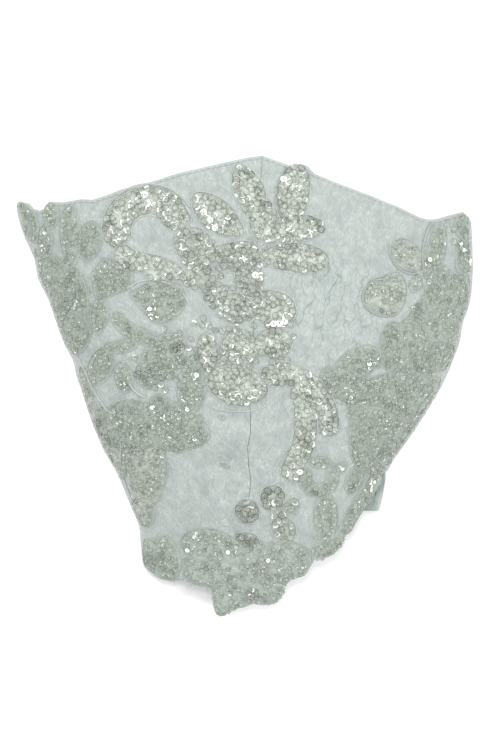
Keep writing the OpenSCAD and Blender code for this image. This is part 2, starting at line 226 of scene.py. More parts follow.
NET_LIGHT = (0.39, 0.43, 0.405)
NET_DARK = (0.24, 0.27, 0.25)
THREAD_GREY = (0.27, 0.30, 0.285)
THREAD_PALE = (0.34, 0.375, 0.36)
NET_BLUE = (0.285, 0.325, 0.335)
# What multiplies the net's colour off and on the creases: the darker colour on them is painted shade in the
# creases.
OFF_CREASE, CREASE_SHADE = (1, 1, 1), (0.60, 0.66, 0.63)    # what multiplies the net's colour
PER_MM = (1000, 1000, 1000)
SWAY = (6, 3, 0)              # how far, in mm, a soft noise bends the net's grain
GRAIN = (1.5, 0.5, 1)         # grains of the net per millimetre, across and along
CREASE_CELLS = (0.30, 0.075, 1)
VEIN_CELLS = (0.42, 0.2, 1)   # pale veins where the net is doubled on its lining
CREASED_AT = (30, 27, 0)      # where the net is crazed most, and how far that reaches
CREASED_REACH = 24
# Painted shade of the folds and dents in the window of plain net, as soft darker patches: x, y, half width,
# half height, and how dark.
FOLD_SHADE_PATCHES = [(-7.5, -10.2, 4.8, 2.4, 0.78), (-6.6, -26.2, 6.8, 2.6, 0.78), (-12, -36, 5, 4, 0.94),
           (-4, -22, 14, 19, 0.95), (5, -20, 2.4, 8, 0.95)]
FOLD_SHADE_RAGGED = 1.2


def painted_fold_shade(n, colour, ragged):
    """Darkens a colour with painted fold shade at each listed patch, whose edges the noise makes ragged."""
    place = n.coords("Object", (1000, 1000, 0))
    for x, y, wide, high, shade in FOLD_SHADE_PATCHES:
        scaled = n.vector("MULTIPLY_ADD", place, (1 / wide, 1 / high, 0), (-x / wide, -y / high, 0))
        uneven = n.maths("MULTIPLY_ADD", ragged, FOLD_SHADE_RAGGED)
        n.link(n.away(scaled), uneven.inputs[2])
        colour = n.times(colour, n.grey(uneven.outputs[0], 0.85, 1.75, shade, 1.0))
    return colour


def net_material(name, light, dark):
    """Fine upright net over its lining, with soft mottling, and wavy upright creases in places, darkened
    with painted shade; painted fold shade lies in its window.
    """
    n = Nodes(name)
    uv = n.coords("UV", (1, 1, 1))
    bent = n.vector("MULTIPLY_ADD", n.noise(uv, 0.22, 2.0), SWAY, uv)
    fine = n.vector("MULTIPLY", bent, GRAIN)
    threads = n.grey(n.cells(fine), 0.02, 0.3, 1, 0)
    grain = n.noise(fine, 1.0, 4.0, 0.7)
    crease = n.cells(n.vector("MULTIPLY", bent, CREASE_CELLS), 0.9)
    away = n.away(n.coords("Object", (1000, 1000, 0)), *CREASED_AT)
    near = n.grey(n.maths("DIVIDE", away, CREASED_REACH).outputs[0], 0.45, 1.0, 1.0, 0.03)
    broken = n.times(near, n.grey(n.noise(uv, 0.2, 2.0), 0.4, 0.55, 0.3, 1))
    # the crease lines, which the colour below darkens as painted shade
    lines = n.times(n.grey(crease, 0.0, 0.06, 1, 0), broken)
    soft = n.mix(light, NET_BLUE, n.grey(n.noise(uv, 0.13, 3.0), 0.44, 0.66, 0, 0.7))
    tone = n.mix(soft, dark, n.mix(n.grey(grain, 0.3, 0.7, 0, 1), threads, 0.3))
    veins = n.grey(n.cells(n.vector("MULTIPLY", bent, VEIN_CELLS)), 0.02, 0.12, 1.07, 0.99)
    mottled = n.times(n.times(tone, veins), n.grey(n.noise(uv, 0.3, 5.0, 0.65), 0.3, 0.7, 0.88, 1.1))
    # painted shade of the folds in the window of plain net
    mottled = painted_fold_shade(n, mottled, n.noise(uv, 0.35, 3.0))
    # darker on the creases: painted shade; the bump below gives their real relief
    n.colour(n.times(mottled, n.mix(OFF_CREASE, CREASE_SHADE, lines)))
    n.bump(n.mix(n.mix(threads, grain, 0.6), lines, 0.6, "SUBTRACT"), 0.5, 0.0003)
    n.value(Roughness=0.62, Sheen_Weight=0.2, Sheen_Roughness=0.5)
    return n.material


def weave_material(name, light, dark, pitch=0.4, roughness=0.7):
    """Plain woven tape or thread, with its two sets of yarns pitch mm apart and soft mottling."""
    n = Nodes(name)
    place = n.coords("Object", (1000 / pitch, 1000 / pitch, 1000 / pitch))
    waves = [n.waves(place, direction, 0.3, 0.6).outputs["Fac"] for direction in ("X", "Y")]
    weave = n.mix(waves[0], waves[1], 0.5)
    tone = n.mix(dark, light, weave)
    n.colour(n.times(tone, n.grey(n.noise(place, 0.06, 3.0), 0.3, 0.7, 0.88, 1.08)))
    n.bump(weave, 0.5, 0.0002)
    n.value(Roughness=roughness, Sheen_Weight=0.3)
    return n.material


def satin_material(name, light, dark):
    """Embroidered ground: satin stitches across each leaf, worn and mottled."""
    n = Nodes(name)
    wave = n.waves(n.coords("UV", (1, 1, 1)), "X", 0.9, 1.2)
    wave.inputs["Detail"].default_value = 2
    speck = n.noise(n.coords("Object", PER_MM), 0.7, 5.0, 0.7)
    tone = n.mix(dark, light, n.grey(speck, 0.32, 0.68, 0, 1))
    n.colour(n.times(tone, n.grey(wave.outputs["Fac"], 0.1, 0.9, 0.9, 1.05)))
    n.bump(n.mix(wave.outputs["Fac"], speck, 0.6), 0.6, 0.0003)
    n.value(Roughness=0.5, Sheen_Weight=0.2)
    return n.material


def gloss_material(name, colour, roughness, alpha=1.0, spread=0.12):
    """Sequins and beads: clear plastic, each a little different in tone; the pale looks paint their
    highlights and glints, and the dark rim looks paint shade.
    """
    n = Nodes(name)
    mottle = n.grey(n.noise(n.coords("Object", PER_MM), 0.55, 2.0), 0.3, 0.7, 1 - 2 * spread, 1 + spread)
    n.colour(n.times(colour, mottle))
    n.value(Roughness=roughness, IOR=1.6, Alpha=alpha)
    return n.material


# ---------------------------------------------------------------------------
# The shape of the glove
# ---------------------------------------------------------------------------
# Sides as [y, x], the arm end and the hand end as [x, y], and the centre seam as [y, x].
SIDE_LEFT = [(-76, -32), (-58, -34), (-46, -35), (-40, -37.8), (-30, -41.7), (-20, -47.4), (-10, -51.5),
    (0, -54.6), (4, -56.2), (9, -56.9), (14, -60), (20, -62.2), (30, -65.6), (36, -68.9), (43, -70),
    (50, -73.4), (56, -75.4), (62, -76.3)]
SIDE_RIGHT = [(-76, 43), (-40, 45), (-30, 47), (-25, 49.3), (-20, 53), (-15, 56.7), (-10, 59.8), (-5, 62.9),
    (0, 65.9), (5, 68.3), (10, 70.1), (15, 72.2), (21, 72.8), (27, 75.2), (32, 76), (40, 76.5), (50, 76.1),
    (54, 75.9), (62, 75.5)]
ARM_EDGE = [(-76.3, 59.8), (-75, 61.8), (-72, 61), (-70.5, 59.3), (-68, 58.4), (-66, 59.3), (-64, 61.4),
    (-60, 61.2), (-54, 62.2), (-50, 62), (-45, 63.6), (-40, 65.6), (-30, 68), (-22, 70.6), (-13, 72.7),
    (-2, 75.2), (2, 76), (6, 76.5), (10, 75.1), (13, 74), (15, 73.3), (20.5, 73.4), (21.5, 72.3),
    (23, 70.6), (30, 67.8), (40, 64), (50, 60.1), (58, 56.2), (61, 55.5), (64, 55.6), (67, 56.5),
    (73, 58.2), (75, 56.5), (76.3, 54)]
HAND_EDGE = [(-34.3, -57), (-33.4, -60), (-32, -61), (-30, -62.8), (-28, -64), (-25, -64.6), (-20, -64.3),
    (-18, -65.2), (-15, -66.2), (-12.5, -66.7), (-10.9, -67.6), (-10.3, -70), (-10.1, -74), (-9.2, -76),
    (-8, -76.6), (-6.5, -76.3), (-5, -75.1), (-3, -74), (0, -73.5), (3, -72.2), (5, -72.6), (8.5, -72.6),
    (11, -71.8), (12, -70.5), (13.6, -67.4), (14.3, -65.6), (15.5, -64.4), (18, -63.5), (20, -62.9),
    (21.3, -61.5), (22.3, -59.4), (23.3, -57.7), (25.5, -57), (28.5, -56.4), (30, -55.7), (31.5, -53.8),
    (33.4, -51.2), (33.7, -49.4), (35, -47.4), (36, -44.4), (38, -42.5), (39.4, -40.8), (41, -37),
    (43, -32.8), (45.4, -29.6), (47.3, -28)]
SEAM = [(-76, 2.4), (-37, 1.6), (-31, 2.3), (-26, 1.5), (-20, 1.2), (-15, 2.2), (-7, 2), (40, 4), (77, 6)]
ARCH = (CAD_BOX[1][2] - CAD_BOX[0][2]) / MM - 1.1   # the highest sequins stand this much over the net
POWER = 2.3                  # of the arch's section, which is fuller than an ellipse's
CROWN_Y = 25                 # where the crown is highest
REACH = 101                  # from there to where it would have lost these shares of its height
HAND_FALL, ARM_FALL = 0.74, 0.4
NET_T = 0.6
LINING_DEPTH = 1.4
LINING_T = 0.5
SIDE_LIMIT = 0.9985          # share of the half width over which the surface is followed


def smooth_table(points, step=0.5, blur=3):
    """A table of [y, x] as two arrays, with its corners rounded over blur steps."""
    y = np.arange(-82, 83, step)
    x = np.interp(y, [p[0] for p in points], [p[1] for p in points])
    kernel = np.exp(-0.5 * (np.arange(-3 * blur, 3 * blur + 1) / blur) ** 2)
    padded = np.pad(x, 3 * blur, mode="edge")
    return y, np.convolve(padded, kernel / kernel.sum(), "valid")


LEFT_Y, LEFT_X = smooth_table(SIDE_LEFT)
RIGHT_Y, RIGHT_X = smooth_table(SIDE_RIGHT)


def lookup(v, points):
    return np.interp(v, [p[0] for p in points], [p[1] for p in points])


def left_x(y):
    return np.interp(y, LEFT_Y, LEFT_X)


def right_x(y):
    return np.interp(y, RIGHT_Y, RIGHT_X)


def middle(y):
    return (left_x(y) + right_x(y)) / 2


def half(y):
    return (right_x(y) - left_x(y)) / 2


def crown(y):
    away = (y - CROWN_Y) / REACH
    return ARCH * (1 - np.where(away < 0, HAND_FALL, ARM_FALL) * away ** 2)


# Soft dents and folds in the cloth: x, y, size along its own axis and across it, turn, height.
FOLDS = [(-7.5, -9.6, 5, 2.2, -8, -1.3), (-6.5, -26, 6, 2.2, 4, -1.5), (-12, -40, 12, 5, 0, 0.5),
         (-12.4, -11, 1.1, 8, 2, 0.7), (15.4, -12, 1.2, 8, 6, 0.8), (11, -23, 1.2, 5.5, -32, 0.7),
         (-18, -29, 1.2, 8, 6, 0.5), (-14, -35, 4, 1.6, 30, -0.7), (8, -14, 1.6, 9, 4, 0.5),
         (-4, -17, 7, 2, 10, 0.6), (-24, -42, 5, 2, -30, -0.7),
         (20, 30, 3, 16, 8, 0.5), (27, 28, 3, 18, -6, -0.4), (36, 40, 3, 16, 10, 0.4),
         (-22, -58, 1.3, 9, -6, 0.6), (-19.8, -57, 1.1, 8, -4, -0.6), (30, 56, 10, 3, -25, 0.4),
         (-34, 66, 12, 2.4, 12, 0.4), (10, -14, 2.4, 12, 20, -0.5), (5, -27, 3, 12, -15, 0.4),
         (-50, 20, 2.5, 9, 20, 0.4), (44, -6, 6, 4, 30, 0.5), (-42, -36, 3, 12, 15, -0.5)]


def turned(x, y, u, v, turn):
    """Plan points at (u, v), turned by an angle in degrees and moved to (x, y)."""
    c, s = math.cos(math.radians(turn)), math.sin(math.radians(turn))
    return np.column_stack([x + u * c - v * s, y + u * s + v * c])


def folds(x, y):
    z = np.zeros(np.broadcast(x, y).shape)
    for fx, fy, a, b, turn, height in FOLDS:
        c, s = math.cos(math.radians(turn)), math.sin(math.radians(turn))
        u, v = (x - fx) * c + (y - fy) * s, (y - fy) * c - (x - fx) * s
        z += height * np.exp(-0.5 * ((u / a) ** 2 + (v / b) ** 2))
    z += 0.16 * np.sin(0.32 * x + 0.6 * np.sin(0.11 * y)) * np.sin(0.12 * y + 0.05 * x)
    return z


def arch_z(x, y, u, d=0.0):
    """The arch's height at a share u of its half width, d over the net."""
    return (crown(y) + d) * np.sqrt(np.clip(1 - u ** POWER, 0, 1)) + folds(x, y) * (1 - u ** 4)


def surface_z(x, y):
    return arch_z(x, y, np.clip(np.abs(x - middle(y)) / half(y), 0, SIDE_LIMIT))


def on_surface(x, y):
    """The points over (x, y) on the net, and its outward normals there."""
    x, y = np.asarray(x, float), np.asarray(y, float)
    keep = 0.985 * half(y)
    x = np.clip(x, middle(y) - keep, middle(y) + keep)
    step = 0.35
    z = surface_z(x, y)
    dx = (surface_z(x + step, y) - surface_z(x - step, y)) / (2 * step)
    dy = (surface_z(x, y + step) - surface_z(x, y - step)) / (2 * step)
    n = np.stack([-dx, -dy, np.ones_like(dx)], -1)
    n /= np.linalg.norm(n, axis=-1, keepdims=True)
    return np.stack([x, y, z], -1), n


def lifted(x, y, d):
    p, n = on_surface(x, y)
    return p + n * np.asarray(d)[..., None]


# ---------------------------------------------------------------------------
# Making pieces
# ---------------------------------------------------------------------------
def piece(name, points, faces, materials, slot, uv=None, slots=None):
    """A mesh object from points in millimetres and a list or array of faces."""
    mesh = bpy.data.meshes.new(name)
    faces = faces.tolist() if isinstance(faces, np.ndarray) else faces
    mesh.from_pydata((np.asarray(points) * MM).tolist(), [], faces)
    for material in materials:
        mesh.materials.append(material)
    mesh.polygons.foreach_set("use_smooth", [True] * len(mesh.polygons))
    if slots is not None:
        mesh.polygons.foreach_set("material_index", np.asarray(slots, dtype=np.int32))
    if uv is not None:
        layer = mesh.uv_layers.new(name="UVMap")
        index = np.empty(len(mesh.loops), dtype=np.int32)
        mesh.loops.foreach_get("vertex_index", index)
        layer.data.foreach_set("uv", np.asarray(uv)[index].ravel())
    mesh.update()
    o = bpy.data.objects.new(name, mesh)
    bpy.context.scene.collection.objects.link(o)
    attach(o, ROOT)
    return o


def grid_faces(rows, columns, start=0, wrap=False):
    """Quads between a grid of points, row by row. wrap closes each row on itself."""
    i = np.arange(rows - 1)[:, None]
    j = np.arange(columns if wrap else columns - 1)[None, :]
    k = (j + 1) % columns
    quads = np.stack([i * columns + j, i * columns + k, (i + 1) * columns + k, (i + 1) * columns + j], -1)
    return quads.reshape(-1, 4) + start


def solid_sheet(name, outer, inner, uv, material, slot):
    """A thin closed sheet between two grids of points with the same shape."""
    rows, columns = outer.shape[:2]
    count = rows * columns
    top = grid_faces(rows, columns)
    under = grid_faces(rows, columns, count)[:, ::-1]
    ring = np.concatenate([np.arange(columns), np.arange(1, rows) * columns + columns - 1,
                           (rows - 1) * columns + np.arange(columns - 2, -1, -1),
                           np.arange(rows - 2, 0, -1) * columns])
    after = np.roll(ring, -1)
    rim = np.stack([after, ring, ring + count, after + count], -1)
    points = np.concatenate([outer.reshape(-1, 3), inner.reshape(-1, 3)])
    uvs = np.concatenate([uv.reshape(-1, 2)] * 2)
    o = piece(name, points, np.concatenate([top, under, rim]), [material], slot, uvs)
    o.data.polygons.foreach_set("use_smooth", [True] * (len(top) + len(under)) + [False] * len(rim))
    return o


# ---------------------------------------------------------------------------
# The cloth
# ---------------------------------------------------------------------------
SEAM_GAPS = [(-78, 0.01), (-38, 0.01), (-36, 0.1), (-8, 0.12), (-5, 0.01), (78, 0.01)]    # [y, gap]
RAGGED_FROM = 8    # power by which the hand end's scallops fade along the cloth


def across(a, y, d=0.0):
    return middle(y) - (half(y) + d) * np.cos(a)


def seam_angle(y, side):
    return np.arccos((middle(y) - lookup(y, SEAM) - side * lookup(y, SEAM_GAPS) / 2) / half(y))


def half_grid(side, columns, rows, short):
    """Angles round the arch and lengths along the glove, for a grid over one half of its back."""
    share = np.linspace(0, 1, columns)

    def angle(y):
        seam = seam_angle(y, side)
        s = share.reshape(-1, *[1] * (y.ndim - 1))
        return seam * s if side < 0 else seam + (math.pi - seam) * s

    def end(edge, start):
        y = np.full(columns, float(start))
        for _ in range(60):
            y = (y + lookup(across(angle(y), y), edge)) / 2
        return y

    top, bottom = end(ARM_EDGE, 60) - short, end(HAND_EDGE, -55) + short
    reach = columns // 10
    weights = np.exp(-2.0 * (np.arange(-reach, reach + 1) / reach) ** 2)
    calm = np.convolve(np.pad(bottom, reach, mode="edge"), weights / weights.sum(), "valid")
    along = np.linspace(0, 1, rows)[None, :]
    scallops = (bottom - calm)[:, None] * along ** RAGGED_FROM
    y = top[:, None] + (calm - top)[:, None] * along + scallops
    return angle(y), y


def arch_points(a, y, d):
    x = across(a, y, d)
    return np.stack([x, y, arch_z(x, y, np.abs(np.cos(a)), d)], -1)


def make_half(side, name, depth, thickness, material, slot, columns, rows, short):
    """One half of the back or of its lining, depth under the net's top, with its grid of points."""
    a, y = half_grid(side, columns, rows, short)
    outer, inner = arch_points(a, y, -depth), arch_points(a, y, -depth - thickness)
    step = np.linalg.norm(np.diff(outer, axis=0), axis=2)
    run = np.concatenate([np.zeros((1, rows)), np.cumsum(step, axis=0)])
    return solid_sheet(name, outer, inner, np.stack([run, y], -1), material, slot), outer


PALM_TOP, PALM_END = 53.0, -41.4
WALL = NET_T + 0.8 + LINING_T + 0.5    # from the back's outside to the palm's sides
TAB_SIDE = [(-41.4, 43.4), (-41, 44.4), (-40.2, 45.2), (-39, 45.6), (-35.5, 46.4), (-31, 47.2), (-29, 47.3)]


def palm_left(y):
    return left_x(y) + WALL


def palm_right(y):
    inside = right_x(y) - WALL
    blend = np.clip((y + 29) / 3, 0, 1)
    return (1 - blend) * lookup(y, TAB_SIDE) + blend * inside


TAB_LIFT = 5.0


def palm_lift(x, y):
    """How far the loose corner at the hand end curls up."""
    along = np.clip((-28.5 - y) / 9, 0, 1)
    over = np.clip((x - 33) / 8, 0, 1)
    return TAB_LIFT * along ** 2 * (3 - 2 * along) * over ** 2 * (3 - 2 * over)


def palm_wave(x, y):
    return 0.12 * (1 + np.sin(0.21 * x + 0.4 * np.sin(0.2 * y)) * np.sin(0.16 * y))


def palm_top(x, y):
    return NET_T + palm_wave(x, y) + palm_lift(x, y)


def make_palm(material):
    y = np.linspace(PALM_TOP, PALM_END, 140)[None, :]
    share = np.linspace(0, 1, 120)[:, None]
    x = palm_left(y) + (palm_right(y) - palm_left(y)) * share
    y = y + 0 * x
    outer = np.stack([x, y, palm_top(x, y)], -1)
    inner = np.stack([x, y, 0.02 + 0.5 * palm_wave(x, y) + palm_lift(x, y)], -1)
    return solid_sheet("palm_panel", outer, inner, np.stack([x, y], -1), material, "palm_net"), outer


# ---------------------------------------------------------------------------
# Bands, cords, sequins and beads
# ---------------------------------------------------------------------------
def lathe(profile, segments):
    """Points and quads of a profile of (radius, height) turned about Z."""
    angle = np.arange(segments) * 2 * math.pi / segments
    ring = np.stack([np.cos(angle), np.sin(angle)], -1)
    points = [np.column_stack([ring * r, np.full(segments, z)]) for r, z in profile]
    return np.concatenate(points), grid_faces(len(profile), segments, wrap=True)


def upright(shape):
    """The same shape with its faces turned over, for a profile that runs outwards or down."""
    points, faces = shape
    return points, faces[:, ::-1]


def stamp(shape, places, turns, sizes):
    """Copies of a shape at places, each turned by its own matrix and scaled."""
    points, faces = shape
    moved = np.einsum("nij,kj->nki", turns, points) * np.asarray(sizes)[:, None, None]
    moved = moved + places[:, None, :]
    count = len(points)
    shifted = faces[None] + (np.arange(len(places)) * count)[:, None, None]
    return moved.reshape(-1, 3), shifted.reshape(-1, faces.shape[1])


def frames(normals, tilt, source):
    """Turning matrices whose Z is near each normal, tilted at random and spun."""
    n = normals + source.normal(0, tilt, normals.shape)
    n /= np.linalg.norm(n, axis=1, keepdims=True)
    spin = source.uniform(0, 2 * math.pi, len(n))
    rough = np.column_stack([np.cos(spin), np.sin(spin), np.full(len(n), 0.013)])
    x = rough - n * (rough * n).sum(1, keepdims=True)
    x /= np.linalg.norm(x, axis=1, keepdims=True)
    return np.stack([x, np.cross(n, x), n], -1)


def tube(points, normals, section, closed=False):
    """A tube along points. section gives each ring's offsets along the side and the normal."""
    if closed:
        along = np.roll(points, -1, axis=0) - np.roll(points, 1, axis=0)
    else:
        along = np.gradient(points, axis=0)
    along /= np.linalg.norm(along, axis=1, keepdims=True) + 1e-9
    side = np.cross(normals, along)
    side /= np.linalg.norm(side, axis=1, keepdims=True) + 1e-9
    up = np.cross(along, side)
    rings = points[:, None] + side[:, None] * section[..., :1] + up[:, None] * section[..., 1:]
    rows, columns = rings.shape[:2]
    if closed:
        rings = np.concatenate([rings, rings[:1]])
        rows += 1
    faces = grid_faces(rows, columns, wrap=True).tolist()
    if not closed:
        faces += [list(range(columns))[::-1], list(range((rows - 1) * columns, rows * columns))]
    return rings.reshape(-1, 3), faces


CORD_SIDES = 7
CORD_STEP = 0.3
PLY_TWIST = 1.6     # each ply of the two-ply cord turns once in every 1.6 mm
PLY_DEPTH = 0.2


def rope_section(length, rows, radius):
    """Sections of a two-ply cord."""
    angle = np.arange(CORD_SIDES) * 2 * math.pi / CORD_SIDES
    s = np.linspace(0, length, rows)[:, None]
    r = radius * (1 + PLY_DEPTH * np.cos(2 * (angle[None] - 2 * math.pi * s / PLY_TWIST)))
    return np.stack([r * np.cos(angle), r * np.sin(angle)], -1)


def band_section(rows, width, thick):
    edge = np.array([(0.5, 0), (0.47, 0.6), (0.36, 0.95), (0.12, 0.86), (-0.12, 0.86), (-0.36, 0.95),
                     (-0.47, 0.6), (-0.5, 0)])
    return np.repeat((edge * (width, thick))[None], rows, axis=0)


def join(parts):
    """One set of points and faces from several."""
    points, faces, start = [], [], 0
    for p, f in parts:
        points.append(p)
        faces += [[v + start for v in face] for face in (f.tolist() if isinstance(f, np.ndarray) else f)]
        start += len(p)
    return np.concatenate(points), faces


def resample(points, step, closed=False):
    points = np.asarray(points, float)
    if closed:
        points = np.concatenate([points, points[:1]])
    gap = np.linalg.norm(np.diff(points, axis=0), axis=1)
    run = np.concatenate([[0], np.cumsum(gap)])
    count = max(3, int(run[-1] / step) + 1)
    at = np.linspace(0, run[-1], count, endpoint=not closed)
    return np.stack([np.interp(at, run, points[:, k]) for k in range(points.shape[1])], -1), run[-1]


def rounded(points, n=8):
    """A smooth line through given points."""
    p = np.asarray(points, float)
    p = np.concatenate([2 * p[:1] - p[1:2], p, 2 * p[-1:] - p[-2:-1]])
    t = np.linspace(0, 1, n, endpoint=False)[:, None]
    out = []
    for k in range(1, len(p) - 2):
        a, b, c, d = p[k - 1], p[k], p[k + 1], p[k + 2]
        out.append(0.5 * (2 * b + (c - a) * t + (2 * a - 5 * b + 4 * c - d) * t ** 2
                          + (3 * b - a - 3 * c + d) * t ** 3))
    return np.concatenate([*out, p[-2:-1]])


def cord_on_net(line, radius, lift, closed=False):
    line, length = resample(line, CORD_STEP, closed)
    p, n = on_surface(line[:, 0], line[:, 1])
    return tube(p + n * lift, n, rope_section(length, len(line), radius), closed)


STITCH = lathe([(0.02, -0.62), (0.13, -0.45), (0.15, 0), (0.13, 0.45), (0.02, 0.62)], 6)
STITCH_PITCH = 2.0


def stitches(points, normals, lift):
    """Threads lying along a line."""
    line, _ = resample(np.concatenate([points, normals], axis=1), STITCH_PITCH)
    p, n = line[:, :3], line[:, 3:]
    n = n / np.linalg.norm(n, axis=1, keepdims=True)
    along = np.gradient(p, axis=0)
    along /= np.linalg.norm(along, axis=1, keepdims=True)
    side = np.cross(n, along)
    turns = np.stack([side, np.cross(along, side), along], -1)
    return stamp(STITCH, p + n * lift, turns, np.ones(len(p)))


def make_band(name, points, normals, width, thick, materials, slot, stitch_rows):
    """A flat tape or hem along a line, with rows of stitches at shares of its width."""
    body, faces = tube(points, normals, band_section(len(points), width, thick))
    parts, slots = [(body, faces)], [0] * len(faces)
    along = np.gradient(points, axis=0)
    side = np.cross(normals, along / np.linalg.norm(along, axis=1, keepdims=True))
    for off in stitch_rows:
        p, f = stitches(points + side * off * width, normals, thick * 0.9)
        parts.append((p, f))
        slots += [1] * len(f)
    points, faces = join(parts)
    o = piece(name, points, faces, materials, slot, slots=slots)
    o.data.polygons.foreach_set("use_smooth", [s == 1 for s in slots])
    return o


# ---------------------------------------------------------------------------
# The lace: leaves and scrolls, each as rows of [x, y, across x, across y, half width]
# ---------------------------------------------------------------------------
def rows_along(line, width):
    """Rows along a line. width gives the half width at a share of the length."""
    line, length = resample(line, 0.7)
    way = np.gradient(line, axis=0)
    way /= np.linalg.norm(way, axis=1, keepdims=True)
    share = np.linspace(0, 1, len(line))
    return np.column_stack([line, way[:, 1], -way[:, 0], width(share, length)])


def leaf(x, y, length, width, turn, bend=0.0, blunt=0.5):
    """A leaf about (x, y). It is widest a little before its middle, and bend curves its spine."""
    t = np.linspace(-0.5, 0.5, 24)
    spine = turned(x, y, t * length, bend * (0.25 - t ** 2) * 4, turn)
    return rows_along(spine, lambda share, _: 0.5 * width * np.sin(np.pi * share ** 1.12) ** blunt + 0.02)


def route(points, w0, w1):
    """A branch or scroll through points, with round ends and a width from w0 to w1."""
    def width(share, length):
        full = 0.5 * (w0 + (w1 - w0) * share)
        near = np.minimum(share, 1 - share) * length / (full + 1e-6)
        return full * np.sqrt(np.clip(1 - (1 - np.clip(near, 0, 1)) ** 2, 0.0, 1)) + 0.02
    return rows_along(rounded(points), width)


def bend(x, y, rx, ry, start, end, turn=0.0):
    """Part of an ellipse about (x, y)."""
    a = np.radians(np.linspace(start, end, 24))
    return turned(x, y, rx * np.cos(a), ry * np.sin(a), turn)


def arc(x, y, rx, ry, start, end, w0, w1):
    return route(bend(x, y, rx, ry, start, end), w0, w1)


EDGE_STEP = 0.5


def blob(points):
    """A petal or patch with a given outline, all of which its middle can see."""
    p = np.asarray(points, float)
    edge = rounded(np.concatenate([p, p[:3]]), 6)[6:-13]    # one round of the three points too many
    return {"edge": resample(edge, EDGE_STEP, closed=True)[0], "middle": p.mean(0)}


